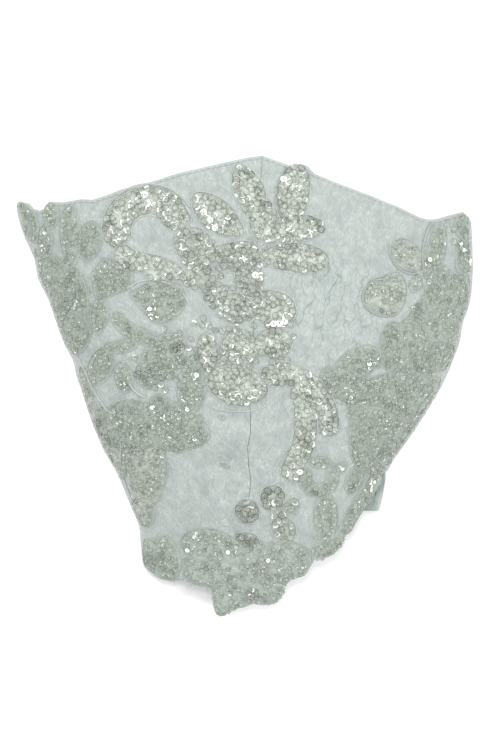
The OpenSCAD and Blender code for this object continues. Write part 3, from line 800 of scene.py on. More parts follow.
RING, FINE = "ring", "fine"              # a motif's sequins: full-size ones or small ones
SPARSE, LOOSELY = "sparse", "loosely"    # few small ones on a filler, or full-size ones on bare net
MOTIFS = {
    "upper_scroll": (RING, [
        arc(-31.8, 52, 10.2, 9.8, 0, 208, 8.4, 8.6),
        route([(-41.5, 46), (-38.6, 42.6), (-33, 41), (-27.4, 39.8), (-21, 36.8)], 6, 4.6),
        blob([(-31.4, 39), (-26, 39), (-25.6, 36), (-29, 34.8), (-31.6, 36.2)])]),
    "star_flower": (RING, [
        leaf(-8.4, 57, 20.5, 9.4, 141, 0.6, 0.62), leaf(1, 63.2, 20.4, 8.8, 109, -1.2, 0.62),
        route([(3, 57), (4.6, 54), (4.2, 50.6)], 5, 4), leaf(8.4, 56.8, 8.4, 4, 100, 0, 0.62),
        leaf(16.8, 63.4, 21, 9.8, 82, 0.8), leaf(15, 51.4, 23.4, 8, 7, 0.8),
        leaf(16.8, 42.2, 22, 8.8, -4, 0.5)]),
    "flower_heart": (RING, [
        blob([(-22.4, 50.4), (-19, 52), (-14, 51.4), (-10.6, 47.6), (-9.8, 42.4), (-13, 39.2), (-18, 39.4),
            (-20.8, 43), (-22.4, 47)]),
        blob([(-21, 38.4), (-16, 39.6), (-11, 38.4), (-9.8, 34.6), (-13.4, 32.4), (-18.8, 33.4)]),
        blob([(-8.4, 46.6), (-3, 47.4), (3, 47), (4.6, 42.4), (1, 38.6), (-5, 38.6), (-8.6, 41.6)]),
        leaf(1.6, 35, 11.6, 7.6, -56, 0, 0.62)]),
    "centre_spray": (RING, [
        blob([(2.6, 28.4), (6, 31), (11, 31), (15.4, 28.6), (16.6, 24.4), (13.4, 21), (8.6, 20.4),
            (4.4, 22.8)]), leaf(-2.4, 26, 11.4, 9, 170, 0, 0.62),
        blob([(-12.6, 31.4), (-9, 34.4), (-6, 32), (-7.6, 27.2), (-12, 26.8)]),
        leaf(9.4, 14.4, 12.4, 9.4, 8), leaf(-1, 13.2, 12, 10.6, 160), leaf(-12, 11.4, 12.6, 6, 96)]),
    "arch_scroll": (RING, [
        leaf(-2, 1.2, 19.6, 12.6, 165, 0.6),
        route([(6, 3.4), (12, 4.2), (16, 3.8), (20, 2), (23.8, -1.6), (26.6, -6), (28, -11), (27.4, -16)],
            6.4, 5.4),
        route([(17.4, 0.6), (20, -5), (20.4, -10.5), (20.2, -15), (19.2, -20), (17, -25), (14.6, -30.4)],
            6.6, 6)]),
    "upper_left_leaves": (FINE, [
        blob([(-37.4, 31.6), (-32, 33.6), (-26, 34.6), (-21, 32.4), (-19.8, 27.6), (-23.4, 23.2),
            (-29, 21.8), (-33, 25.6)]),
        blob([(-50, 38), (-46.4, 42), (-42, 40.4), (-37.4, 38.6), (-38, 33.6), (-42, 31.6), (-48.4, 29.8),
            (-49.6, 34)])]),
    "upper_left_border": (FINE, [
        leaf(-51.2, 48.2, 12.4, 7, 80), leaf(-57.6, 49.8, 19.4, 5.8, 92), leaf(-64.2, 57.2, 8.4, 4.2, 96),
        leaf(-66, 48.4, 10, 3.8, 92, 0, 0.62), leaf(-72.4, 55, 14.4, 6.2, 112)]),
    "left_border": (FINE, [
        blob([(-69.6, 46), (-66, 45), (-62, 42.6), (-59, 39), (-57, 34), (-56.6, 28), (-59.4, 24),
            (-62.6, 24.4), (-64.6, 29), (-66.8, 34), (-69.4, 39)]),
        blob([(-62.4, 23.6), (-58, 24.4), (-53.4, 22), (-51.6, 17), (-54, 12.4), (-57, 11.6), (-60, 15),
            (-61.6, 19)]), route([(-58, 39), (-56, 35.4), (-54.6, 30.4), (-54.4, 25)], 3.8, 3.8),
        leaf(-47.8, 23.8, 11.6, 4.8, 84, 0, 0.62), leaf(-53.4, 32.2, 3.8, 3, 90)]),
    "left_spray": (FINE, [
        route([(-42.6, 24), (-40.6, 21), (-37.4, 18.6), (-34, 17), (-30.6, 15.6)], 3, 4.4),
        route([(-46, 13.2), (-41.4, 13), (-36, 15)], 2.6, 3.2), leaf(-47.4, 7.2, 12.4, 7, 248),
        leaf(-39.8, 3.2, 9.4, 5, 280), leaf(-32, 3.8, 8.6, 6.6, 300),
        blob([(-34, 10), (-31, 15), (-25, 17.2), (-20.4, 16.4), (-19.6, 11), (-22, 5), (-26, 3.4),
            (-30, 6.4)]), leaf(-17, 1.2, 19, 8.6, 262)]),
    "lower_left_leaf": (FINE, [
        route([(-30.4, -4), (-26, -7.6), (-21, -11), (-16.4, -15), (-14.4, -19)], 5.4, 9),
        route([(-31, -10.6), (-27, -14.4), (-22.6, -18.6), (-20, -20.4)], 5.4, 4),
        blob([(-49, -10), (-45, -8.6), (-40.6, -5), (-36.6, -6.6), (-33, -10), (-31.4, -14), (-33.6, -18.4),
            (-39, -20), (-45, -19), (-48.4, -15.4)]), leaf(-34, -18.8, 12, 5, 172, 0, 0.62)]),
    "lower_left_border": (FINE, [
        blob([(-39.4, -20), (-33, -19), (-27.4, -20.4), (-26, -27), (-27.4, -34), (-30, -38.4),
            (-35.6, -38.6), (-38.6, -32), (-40, -26)]),
        route([(-34.6, -37), (-33.4, -41), (-32, -46)], 7, 3.4),
        route([(-54.2, 6), (-52.8, 0), (-51.2, -4), (-49.8, -8), (-48.4, -13), (-45.6, -19), (-42.6, -25),
            (-40.6, -30)], 4, 3.2)]),
    "left_hem_lobe": (FINE, [
        leaf(-31.4, -56.4, 10.6, 4.8, 284), leaf(-25.4, -57.2, 14.4, 7.4, 276)]),
    "hem_flower": (FINE, [
        leaf(-11, -53, 19.6, 9.4, 172, -0.5), leaf(-10, -62, 19, 8, 182),
        blob([(-10.2, -67), (-6, -65.4), (-1, -66.4), (0.4, -70), (-2, -73.6), (-5, -75), (-8, -76.2),
            (-9.8, -74)]),
        blob([(1.6, -67), (5, -64), (10, -64.6), (13.8, -66.6), (12, -70.6), (9, -72.2), (4, -72.2),
            (1, -71)]),
        blob([(4, -60), (6, -55), (11, -52.8), (17, -52.4), (21.4, -55), (21.6, -59), (18.6, -63),
            (12, -64.4), (7, -63.6)]), leaf(1.8, -60.4, 10, 6, 262)]),
    "small_blossom": (RING, [
        leaf(1.2, -41.2, 7.6, 7.0, 120, 0, 0.45), leaf(9.4, -36.8, 7.8, 7, 60, 0, 0.45),
        leaf(1, -50.5, 7, 3.4, 175, 0, 0.45), leaf(13, -47, 8.6, 6.8, 300),
        route([(9.6, -43.4), (13.2, -41.2), (17.6, -37.6)], 3, 3)]),
    "ring_scroll": (FINE, [
        arc(24.8, -30, 4.6, 4.4, 20, -215, 3, 3.4), leaf(25.2, -25, 7, 3, -4, 0, 0.62),
        leaf(36.8, -30.4, 10, 4.2, 244, 0, 0.62), leaf(31.6, -27, 5, 2.2, 40, 0, 0.62)]),
    "right_hem_lobe": (FINE, [
        leaf(27.2, -43.4, 16.4, 6.6, 92),
        blob([(24.4, -52), (29, -51), (33, -50), (32.8, -52), (29.4, -55.4), (24.8, -56.4)]),
        route([(45, -29), (41.8, -34), (39.4, -38), (37, -41.6), (34.6, -46), (33, -49)], 4.4, 3.6)]),
    "right_leaves": (FINE, [
        leaf(36.8, 7.4, 17.4, 8.6, 30), leaf(36.8, -1.4, 19, 8.4, 176), leaf(28, 3, 6.6, 4.4, 90)]),
    "lower_right_border": (FINE, [
        blob([(42, 3.4), (50, 5), (58, 3.4), (65.8, 1.6), (62.4, -5), (57.6, -11), (52, -10), (46, -6.6),
            (41, -5.4)]),
        blob([(40, -6.4), (46, -8), (52, -11.4), (57, -12.6), (52.4, -19.6), (48.4, -25.4), (44, -23),
            (41, -18), (38, -12)]),
        blob([(36, -11), (38.6, -14), (41, -20), (44, -25), (46.6, -28), (41, -28.6), (36.6, -24),
            (35.4, -17)])]),
    "right_border": (FINE, [
        leaf(48.6, 13.4, 15.4, 6.2, 84), leaf(58, 13, 17, 6.4, 94), leaf(53, 7.4, 6, 4.4, 80),
        blob([(60.6, 12), (63, 14.6), (67.6, 14.4), (70.4, 11.6), (67.6, 6.8), (63, 5.8), (60.4, 8.6)]),
        blob([(60.6, 20), (62, 16), (67, 17), (72, 19.6), (73, 23.6), (67, 26), (61.6, 25)]),
        blob([(61.6, 27), (67, 27.4), (74.4, 25.6), (75.4, 31), (75.4, 36), (70, 37), (64, 36), (61, 32)]),
        leaf(57.4, 24.6, 6.4, 3.4, 70, 0, 0.62)]),
    "right_blossom": (FINE, [
        blob([(39.2, 30.6), (41.6, 34.4), (46, 36), (50, 37.4), (52.8, 34.6), (52.8, 29), (50.6, 25),
            (46.6, 24), (42, 26.4)]), leaf(54, 43.6, 11.4, 7.8, 132), leaf(56.8, 34, 4.4, 3, 60, 0, 0.62)]),
    "upper_right_border": (FINE, [
        leaf(62.6, 45.4, 18.6, 4.8, 76, -1.2, 0.62), leaf(65.8, 37.6, 4.4, 4.4, 20, 0, 0.62),
        leaf(73, 53.6, 7.4, 5, 90), route([(73.4, 50), (73.6, 44), (73.2, 38)], 4.6, 4.6)]),
}

# Few small sequins on a flat ground between the leaves, by the motif they lie beside.
FILLERS = {
    "right_border": blob([(44, 4), (54, 3), (64, 4), (71, 12), (73.6, 22), (75, 33), (74, 38), (64, 37),
        (58, 30), (52, 22), (46, 20)]),
    "lower_right_border": blob([(30, 3), (45, 5), (60, 4), (66, 0.6), (60.8, -7.4), (54.4, -17),
        (48, -26.6), (43, -30), (36, -27), (34.4, -15), (33, -6)]),
    "hem_flower": blob([(-20, -48.6), (-2, -48), (6, -50.6), (22, -52), (22.4, -58), (13.6, -65.4),
        (10, -72), (2, -71.8), (-7.6, -76), (-9.8, -67), (-19, -64.6)]),
    "left_hem_lobe": blob([(-33.8, -50), (-28, -49), (-22.6, -50), (-21.6, -63.8), (-27, -63.6),
        (-33, -59)]),
    "right_hem_lobe": blob([(23.4, -37), (30.4, -36), (31, -46), (34, -48), (33, -51), (29, -55.8),
        (23.6, -56.6)]),
    "left_border": blob([(-69.8, 47), (-60, 43.4), (-52, 36), (-49.4, 26), (-50.6, 14), (-57, 11),
        (-60.6, 14), (-64, 25), (-69.4, 38)]),
    "lower_left_leaf": blob([(-50.6, -6), (-40, -3.6), (-31, -5), (-20, -8), (-12, -10), (-12, -19),
        (-22, -22), (-39, -21), (-48, -17.6)]),
}

# Places between the motifs where loose full-size sequins are sewn on the bare net.
LOOSE = {
    "centre_spray": blob([(-20, 20), (-12, 24), (-13, 31), (-8, 37), (2, 38), (6, 32), (16, 20), (15.6, 10),
        (8, 6), (-4, 7), (-14, 5), (-22, 2), (-23, 12)]),
    "flower_heart": blob([(-12, 36), (0, 34), (6, 37), (7, 47), (5, 54), (-1, 54), (-11, 50)]),
    "left_spray": blob([(-34, -1), (-22, -2), (-20, 12), (-20, 19), (-29, 19), (-36, 12)]),
    "right_border": blob([(50, 28), (58, 24), (62, 36), (67, 40), (72, 42), (70, 52), (64, 56), (60, 40)]),
}

# Places of sequins painted white as highlights where they catch the light, and of dark ones.
BRIGHT = [(-34.4, 62.4), (-37, 61), (-23.6, 57), (-35.6, 58.6), (-39.6, 57.6), (-24.4, 61.4), (-41.6, 48.6),
    (-33, 64), (-13, 58.4), (-6.4, 55.4), (14.9, 24), (13.2, 22.2), (11.4, 21), (9.6, 20.8), (-1.4, 12.6),
    (0.6, 11.4), (-2.8, 11), (-0.4, 9.6), (1.4, 8.8), (-3.8, 13.4), (1.4, -4.8), (2.8, -3.8), (-0.6, -3.6),
    (-3, -2.6), (4.4, -2), (16.2, -29.4), (18, -28), (14.4, -28.6), (26.4, -14.2), (43, 8.8), (41.4, 7.4),
    (34, -3), (-12.6, 9), (-15.6, 3.8), (-19.8, -4.6), (-18.4, -7.4), (-20.4, -6), (-9.6, 33), (-15.6, 22),
    (-7, 23), (-29.4, 37.6), (-27.4, 36.6), (-28.8, 35.8), (-18.6, -54.2), (-17, -52.4), (2, -67.4),
    (53, 15.6), (32, -26.8), (30.6, -28.4), (-26.6, 59.4), (-29, 60.6), (-31.4, 60.8), (-25, 58.6),
    (-29.6, 55.6), (-40.4, 52.2), (-39, 53.8), (-42.4, 51.8), (-14.6, 62.2), (-15.6, 60.8), (-10.8, 55.2),
    (-9.8, 53), (0.2, 62.6), (1.4, 61.2), (-0.4, 64.4), (2, 60), (19.6, 49.4), (16, 50), (12.4, 50.4),
    (8, 49.8), (21.6, 50.6), (4.2, 37), (0.6, 42.6), (1.8, 44.2), (18, 66.4), (13.6, 68.6), (-22, 49.6),
    (-21.4, 47.4), (-22.4, 46), (-18.6, 41.6), (3, 26.6), (8.4, -57.8), (8.8, -38.2), (10, -38.4),
    (23, 25.2), (25.6, -25), (71.8, 48), (72.4, 45.4), (75, 46.4), (74.8, 41.4), (61.4, 41.6),
    (-65.4, 51.6), (-65.4, 48), (-65.3, 45), (-30.6, 26), (-31.6, 25), (-29.6, 23.4), (-28.6, -8.6),
    (-30, -7), (-26.4, -10.4), (-24, -11.4), (-23.8, -17), (-16.8, -17.2), (-2.4, 20), (-5.4, 42),
    (5.4, 40), (20.6, 2.2), (21.8, -0.8), (40.4, -35), (41.6, -34), (42.6, -31.6), (38.6, -38),
    (37.4, -40.4), (-16, -49.6), (-5, -54.4), (-2.6, -54)]
DARK = [(0, -38.6), (2.4, -38.6), (4.2, -40.4), (4.4, -42.6), (-1.6, -40.4), (7, -35), (9, -34),
    (11.6, -34.6), (5.8, 4.2), (7, 13.4), (8.6, 11.2), (13.2, 14), (10.4, 13), (-12.4, 13.6), (-12.6, 11.8),
    (-11.2, 29.8), (-8.8, 28.4), (-11, 28), (3, 41), (1.6, -40), (-1, -39.4), (3.6, -42), (0.6, -43.4),
    (-1.6, -42), (2.6, -38.6), (-0.4, -50.4), (1.6, -51.2), (3.6, -51), (-2, -49.6), (12.4, -34.6),
    (12.8, -36.6), (6.4, -36.8), (57.6, 26), (57.2, 23.4), (59, 25.2), (27.6, -6.4), (28.6, -8.6),
    (29.2, -11), (28.4, -13), (26, -4.6), (24.6, 53.6), (22.6, 54.4), (24.8, 51.4), (-43.8, 56),
    (-42.6, 58), (-44, 54.2), (4.2, 56), (4.6, 53.4), (0, 71.4), (2.4, 70), (-2.4, 68.4), (-22.6, 13.4),
    (-20.6, 13.8), (-34.4, 4.2), (-32, 2.4), (-30.6, 5), (-24, 36.2), (14.6, 72.4), (18, 72.6),
    (20.4, 70.8), (12.4, 40), (-39.4, 0.6), (-54, 32), (35, -33.6), (34.2, -24.6), (2.2, -68), (4, -69)]

# Cords that stand apart from the leaves, by CAD node.
CORDS = {
    "upper_left_cords": [bend(-31.5, 51.5, 14.6, 14.6, 12, 160), bend(-31.5, 51.5, 15.7, 15.7, 30, 130),
                         bend(-31.5, 51.5, 5.8, 5.4, 24, 200), bend(-28.2, 28.2, 10.6, 6.6, 200, 350, 160)],
    "left_cords": [rounded([(-60, 17), (-56.4, 12), (-53, 5.6), (-50, -1), (-46, -7), (-43, -9.4)]),
                   rounded([(-40.8, -19.4), (-41, -24), (-40, -30)]), bend(-35.6, 3, 3, 7, 100, 260, 30)],
    "window_cords": [rounded([(13, -5), (16, -12), (15, -19), (12, -24), (9.4, -28.4)]),
                     rounded([(5.4, -35.6), (8.6, -33), (12, -31)]), bend(-2, -4, 11, 4.2, 205, 330)],
    "upper_right_cords": [bend(16.8, 64.6, 10, 5.8, 44, 165, 80), bend(46.8, 29.6, 7.6, 6.1, 60, 300),
                          bend(54, 43.4, 6.7, 5.0, 20, 165, 132), bend(62.8, 45, 10, 3.6, 20, 160, 84)],
}
# The radius, height over the net and look of each group of cords; the dark shadow_cord look of the upper
# right cords is painted shadow beside the right blossoms.
CORD_LOOKS = {"upper_left_cords": (0.3, 0.16, "cord"), "left_cords": (0.3, 0.16, "cord"),
              "window_cords": (0.26, 0.02, "net_cord"), "upper_right_cords": (0.42, 0.2, "shadow_cord")}


def place_in(rows, share, side):
    """Plan points at a share of the length, and at side, from -1 to 1, of the half width."""
    at = np.linspace(0, 1, len(rows))
    x, y, nx, ny, w = (np.interp(share, at, rows[:, k]) for k in range(5))
    return x + nx * w * side, y + ny * w * side


def spine_length(rows):
    return float(np.linalg.norm(np.diff(rows[:, :2], axis=0), axis=1).sum())


DOME = 0.5           # height of a leaf's ground
FLAT_DOME = 0.12     # and of a filler's
GROUND_COLUMNS = 11
SCALLOP = 2.2        # length of one scallop along an edge


def signed_area(polygon):
    """Twice a polygon's area, which is positive where it runs anticlockwise."""
    x, y = polygon[:, 0], polygon[:, 1]
    return float((x * np.roll(y, -1) - np.roll(x, -1) * y).sum())


def ground(shape, high):
    """The raised, satin-stitched ground of one leaf or petal, with its own UVs along and across it."""
    if isinstance(shape, dict):
        edge, centre = shape["edge"], shape["middle"]
        rings = np.linspace(0.02, 1, 14)[:, None]
        run = np.arange(len(edge)) * EDGE_STEP
        scallop = 1 + 0.035 * np.sin(run * 2 * math.pi / SCALLOP)[None] * rings ** 4
        x = centre[0] + (edge[None, :, 0] - centre[0]) * rings * scallop
        y = centre[1] + (edge[None, :, 1] - centre[1]) * rings * scallop
        rings = np.broadcast_to(rings, x.shape)
        points = lifted(x, y, high * (1 - rings ** 4) + 0.06 * (1 - rings) - 0.05 * rings ** 8)
        faces = grid_faces(len(rings), len(edge), wrap=True)
        if signed_area(edge) > 0:
            faces = faces[:, ::-1]
        return points.reshape(-1, 3), faces, np.stack([x, y], -1).reshape(-1, 2)
    length = spine_length(shape)
    count = max(6, int(length / 0.45))
    share = np.repeat(np.linspace(0, 1, count)[:, None], GROUND_COLUMNS, 1)
    side = np.repeat(np.linspace(-1, 1, GROUND_COLUMNS)[None], count, 0)
    scallop = 1 + 0.1 * np.sin(share * length * 2 * math.pi / SCALLOP)
    x, y = place_in(shape, share, side * scallop)
    width = np.interp(share, np.linspace(0, 1, len(shape)), shape[:, 4])
    dome = high * np.minimum(1, width / 2.2) * (1 - np.abs(side) ** 3)
    points = lifted(x, y, dome + 0.08 * (1 - side ** 2) - 0.06 * np.abs(side) ** 8)
    uv = np.stack([share * length, side * width], -1)
    return points.reshape(-1, 3), grid_faces(count, GROUND_COLUMNS), uv.reshape(-1, 2)


def outline(shape):
    if isinstance(shape, dict):
        return shape["edge"]
    way = shape[:, 2:4]
    return np.concatenate([shape[:, :2] + way * shape[:, 4:], (shape[:, :2] - way * shape[:, 4:])[::-1]])


def inside(points, polygon):
    """Which points lie inside a polygon."""
    x, y = points[:, :1], points[:, 1:]
    a, b = polygon[None], np.roll(polygon, -1, axis=0)[None]
    crossing = (a[..., 1] > y) != (b[..., 1] > y)
    at = a[..., 0] + (y - a[..., 1]) * (b[..., 0] - a[..., 0]) / (b[..., 1] - a[..., 1] + 1e-12)
    return (crossing & (x < at)).sum(1) % 2 == 1


def edge_distance(points, polygon):
    a, b = polygon[None], np.roll(polygon, -1, axis=0)[None]
    way = b - a
    t = ((points[:, None] - a) * way).sum(-1) / ((way ** 2).sum(-1) + 1e-12)
    near = a + way * np.clip(t, 0, 1)[..., None]
    return np.linalg.norm(points[:, None] - near, axis=-1).min(1)


def candidates(shape, inset, source, density):
    """Plan points all over a shape, those along its edge first, so that rows follow its outline."""
    polygon = outline(shape)
    low, high = polygon.min(0), polygon.max(0)
    count = int((high - low).prod() * density)
    points = low + source.uniform(0, 1, (count, 2)) * (high - low)
    points = points[inside(points, polygon)]
    if not len(points):
        return points
    depth = edge_distance(points, polygon)
    source.uniform(0, 1, len(depth))    # not used, but the draws after it depend on it
    points, depth = points[depth > inset], depth[depth > inset]
    return points[np.argsort(np.round(depth / 0.25), kind="stable")]


# Profiles of a cupped sequin and a seed bead, for a sequin 2.8 mm across.
CUP = [(0.34, 0.03), (0.38, -0.01), (0.62, 0.0), (0.86, 0.06), (1.08, 0.17), (1.26, 0.31), (1.38, 0.42),
       (1.41, 0.4)]
SEQUIN_SIDES = 14
SEQUIN = upright(lathe(CUP, SEQUIN_SIDES))
# The cup's outer faces from here on take a darker rim look: painted shade on the sequin's rim.
RIM_FACES_FROM = SEQUIN_SIDES * 5       # its outer faces, which look darker
# Some of the cup's faces from here on get a painted glint.
GLINT_FACES_FROM = SEQUIN_SIDES * 3     # the faces of which some shine
BEAD = upright(lathe([(0.14, 0.34), (0.34, 0.42), (0.52, 0.2), (0.54, 0.0), (0.42, -0.24)], 8))
BEAD_SIZE = 0.45

# The looks of a sequin's faces, of which the pale ones are painted highlights and glints, and where in that
# list each kind starts.
SEQUIN_LOOKS = ("sequin", "rim", "painted_highlight", "painted_highlight_rim", "smoke", "smoke_rim", "glint")
HIGHLIGHT, SMOKE, GLINT = 2, 4, 6
# How near a place in BRIGHT or DARK a sequin is always kept, is painted white as a highlight or is smoky,
# or, in sizes, gets painted flashes.
KEPT_NEAR, HIGHLIGHT_NEAR, DARK_NEAR, FLASH_NEAR = 1.5, 0.6, 1.4, 2.2
SMOKY_SHARE = 0.07    # of all other sequins

# Pitch and size of the sequins, and the share of them that is kept.
GRADES = {RING: (1.65, 0.86, 0.94), FINE: (1.3, 0.56, 0.72), SPARSE: (1.5, 0.48, 0.7),
          LOOSELY: (2.3, 0.76, 0.45)}
# How a motif of each grade is made: how far inside its leaves and hems its sequins stay, candidates per
# square millimetre, the share of sequins that get a painted glint, the beads' pitch, and its ground and
# outline.
MOTIF_LOOKS = {RING: (0.6, 0.6, 9, 0.34, 1.8, "pale_ground", "cord"),
               FINE: (0.5, 0.85, 14, 0.1, 2.1, "deep_ground", "deep_cord")}
# Motifs and fillers whose ground is lighter or darker than the others'.
GROUND_LOOK = {"star_flower": "light_ground", "centre_spray": "light_ground", "arch_scroll": "light_ground",
               "hem_flower": "filler", "lower_left_border": "pale_ground", "right_blossom": "pale_ground",
               "upper_scroll": "light_ground"}
DEEP_FILLERS = ("lower_right_border", "left_border", "lower_left_leaf", "right_border")


def thin_out(points, gap):
    """The numbers of the points to keep so that all are at least gap apart, the first ones first."""
    kept, buckets = [], {}
    cells = (points / gap).astype(int)
    around = [(a, b, c) for a in (-1, 0, 1) for b in (-1, 0, 1) for c in (-1, 0, 1)]
    for i, (p, cell) in enumerate(zip(points.tolist(), cells.tolist())):
        crowded = False
        for a, b, c in around:
            for q in buckets.get((cell[0] + a, cell[1] + b, cell[2] + c), ()):
                if (p[0] - q[0]) ** 2 + (p[1] - q[1]) ** 2 + (p[2] - q[2]) ** 2 < gap * gap:
                    crowded = True
                    break
            if crowded:
                break
        if not crowded:
            buckets.setdefault(tuple(cell), []).append(p)
            kept.append(i)
    return kept


def nearest(xy, places):
    return np.linalg.norm(xy[:, None] - np.asarray(places, float)[None], axis=-1).min(1)


def sequin_mesh(name, grade, xy, lift, tilt, glints, looks, source):
    """Sequins at plan points, those kept first, with ones painted white as highlights and smoky ones at
    their places, and painted glints on part of some cups.
    """
    pitch, size, share = GRADES[grade]
    p, n = on_surface(xy[:, 0], xy[:, 1])
    p = p + n * lift
    kept = np.array(thin_out(p, pitch))
    marked = (nearest(xy[kept], BRIGHT) < KEPT_NEAR) | (nearest(xy[kept], DARK) < DARK_NEAR)
    kept = kept[marked | (source.uniform(0, 1, len(kept)) < share)]
    p, n, xy = p[kept], n[kept], xy[kept]
    flash = nearest(xy, BRIGHT)
    flashes = flash < FLASH_NEAR * size
    dark = nearest(xy, DARK) < DARK_NEAR
    dark |= source.uniform(0, 1, len(p)) < SMOKY_SHARE
    points, faces = stamp(SEQUIN, p, frames(n, tilt, source), source.uniform(0.88, 1.08, len(p)) * size)
    face = np.arange(len(SEQUIN[1]))[None]
    # sequins at the bright places are painted white as highlights
    kind = np.where(flash < HIGHLIGHT_NEAR, HIGHLIGHT, np.where(dark, SMOKE, 0))
    # the outer faces take their kind's rim look, which is painted shade on the rim
    slots = (face >= RIM_FACES_FROM) + kind[:, None]
    # A painted glint: a sector of the cup's faces, facing a random way, takes the glint look, or the white
    # highlight look near the bright places.
    toward = source.uniform(0, SEQUIN_SIDES, len(p))
    chance = np.where(flashes, 0.9, glints)
    wide = np.where(source.uniform(0, 1, len(p)) < chance, source.uniform(0.8, 3.0, len(p)), 0)
    turn = (face % SEQUIN_SIDES - toward[:, None] + SEQUIN_SIDES / 2) % SEQUIN_SIDES
    glinting = (np.abs(turn - SEQUIN_SIDES / 2) < wide[:, None]) & (face >= GLINT_FACES_FROM)
    slots = np.where(glinting, np.where(flashes, HIGHLIGHT, GLINT)[:, None], slots)
    return piece(name, points, faces, [looks[k] for k in SEQUIN_LOOKS], "sequins", slots=slots.ravel())


def bead_mesh(name, xy, lift, pitch, looks, source):
    """Small seed beads: some are painted with the glint look as bright specks of highlight, and the others
    are clear.
    """
    source.shuffle(xy)
    p, n = on_surface(xy[:, 0], xy[:, 1])
    p = p + n * lift
    kept = thin_out(p, pitch)
    p, n = p[kept], n[kept]
    points, faces = stamp(BEAD, p, frames(n, 0.5, source), source.uniform(0.7, 1.2, len(p)) * BEAD_SIZE)
    slots = np.repeat((source.uniform(0, 1, len(p)) < 0.6).astype(int), len(BEAD[1]))
    return piece(name, points, faces, [looks["glint"], looks["sequin"]], "sequins", slots=slots)


def on_cloth(xy, margin):
    """Which plan points lie on the glove's back, at least margin inside its hems."""
    x, y = xy[:, 0], xy[:, 1]
    return ((y < lookup(x, ARM_EDGE) - margin) & (y > lookup(x, HAND_EDGE) + margin)
            & (np.abs(x - middle(y)) < half(y) * 0.985 - 0.5 * margin))


def grown(polygon, by):
    """A closed outline moved outwards, except where it would leave the cloth."""
    along = np.roll(polygon, -2, axis=0) - np.roll(polygon, 2, axis=0)
    out = np.column_stack([along[:, 1], -along[:, 0]]) * np.sign(signed_area(polygon))
    out = polygon + out / (np.linalg.norm(out, axis=1, keepdims=True) + 1e-9) * by
    inner = polygon + (polygon.mean(0) - polygon) * 0.06
    fallback = np.where(on_cloth(polygon, 0.3)[:, None], polygon, inner)
    return np.where(on_cloth(out, 0.4)[:, None], out, fallback)


def loose_sequins(name, shapes, looks, source):
    """Full-size sequins on the bare net beside a motif."""
    spots = candidates(LOOSE[name], 0.3, source, 9)
    spots = spots[on_cloth(spots, 1.2)]
    for shape in shapes:
        spots = spots[~inside(spots, outline(shape))]
    return [sequin_mesh(name + "_loose_sequins", LOOSELY, spots, 0.25, 0.2, 0.3, looks, source)]


def filler(name, shapes, looks, source):
    """A thin ground between a motif's leaves, and few small sequins on it."""
    points, faces, uv = ground(FILLERS[name], FLAT_DOME)
    look = looks["deep_ground" if name in DEEP_FILLERS else "filler"]
    base = piece(name + "_filler_ground", points, faces, [look], "lace", uv)
    spots = candidates(FILLERS[name], 0.8, source, 8)
    spots = spots[on_cloth(spots, 0.85)]
    for shape in shapes:
        spots = spots[~inside(spots, grown(outline(shape), 1.2))]
    lift = FLAT_DOME + 0.2
    return [base, sequin_mesh(name + "_filler_sequins", SPARSE, spots, lift, 0.25, 0.12, looks, source)]


CORD_OUTSIDE = 0.7    # how far outside a leaf's edge its cord lies


def make_motif(name, grade, shapes, looks, seed):
    source = np.random.default_rng(seed)
    inset, margin, density, glints, bead_pitch, ground_look, cord_look = MOTIF_LOOKS[grade]
    grounds, uvs, cords, spots = [], [], [], []
    for shape in shapes:
        points, faces, uv = ground(shape, DOME)
        grounds.append((points, faces))
        uvs.append(uv)
        cords.append(cord_on_net(grown(outline(shape), CORD_OUTSIDE), 0.2, 0.1, closed=True))
        spots.append(candidates(shape, inset, source, density))
    spots = np.concatenate(spots)
    spots = spots[on_cloth(spots, margin)]
    look = looks[GROUND_LOOK.get(name, ground_look)]
    base = piece(name + "_ground", *join(grounds), [look], "lace", np.concatenate(uvs))
    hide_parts(name + "_lace")
    cord = piece(name + "_outline", *join(cords), [looks[cord_look]], "cord")
    sewn = sequin_mesh(name + "_sewn_sequins", grade, spots, DOME + 0.1, 0.24, glints, looks, source)
    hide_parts(name + "_sequins")
    beads = bead_mesh(name + "_seed_beads", spots.copy(), DOME + 0.3, bead_pitch, looks, source)
    pieces = [base, cord, sewn, beads]
    if name in LOOSE:
        pieces += loose_sequins(name, shapes, looks, source)
    if name in FILLERS:
        pieces += filler(name, shapes, looks, source)
    return pieces


# ---------------------------------------------------------------------------
# The scene
# ---------------------------------------------------------------------------
FLOOR_HALF = 3.0        # metres
FLOOR_DROP = 0.0004


def make_floor():
    n = Nodes("floor_paper")
    place = n.coords("Object", (60, 60, 60))
    n.colour(n.grey(n.noise(place, 4.0, 4.0), 0.3, 0.7, 0.93, 0.95))
    n.value(Roughness=0.9)
    mesh = bpy.data.meshes.new("floor")
    corners = [(-1, -1), (1, -1), (1, 1), (-1, 1)]
    mesh.from_pydata([(FLOOR_HALF * x, FLOOR_HALF * y, 0) for x, y in corners], [], [(0, 1, 2, 3)])
    mesh.materials.append(n.material)
    floor = bpy.data.objects.new("floor", mesh)
    floor.location.z = -FLOOR_DROP
    bpy.context.scene.collection.objects.link(floor)


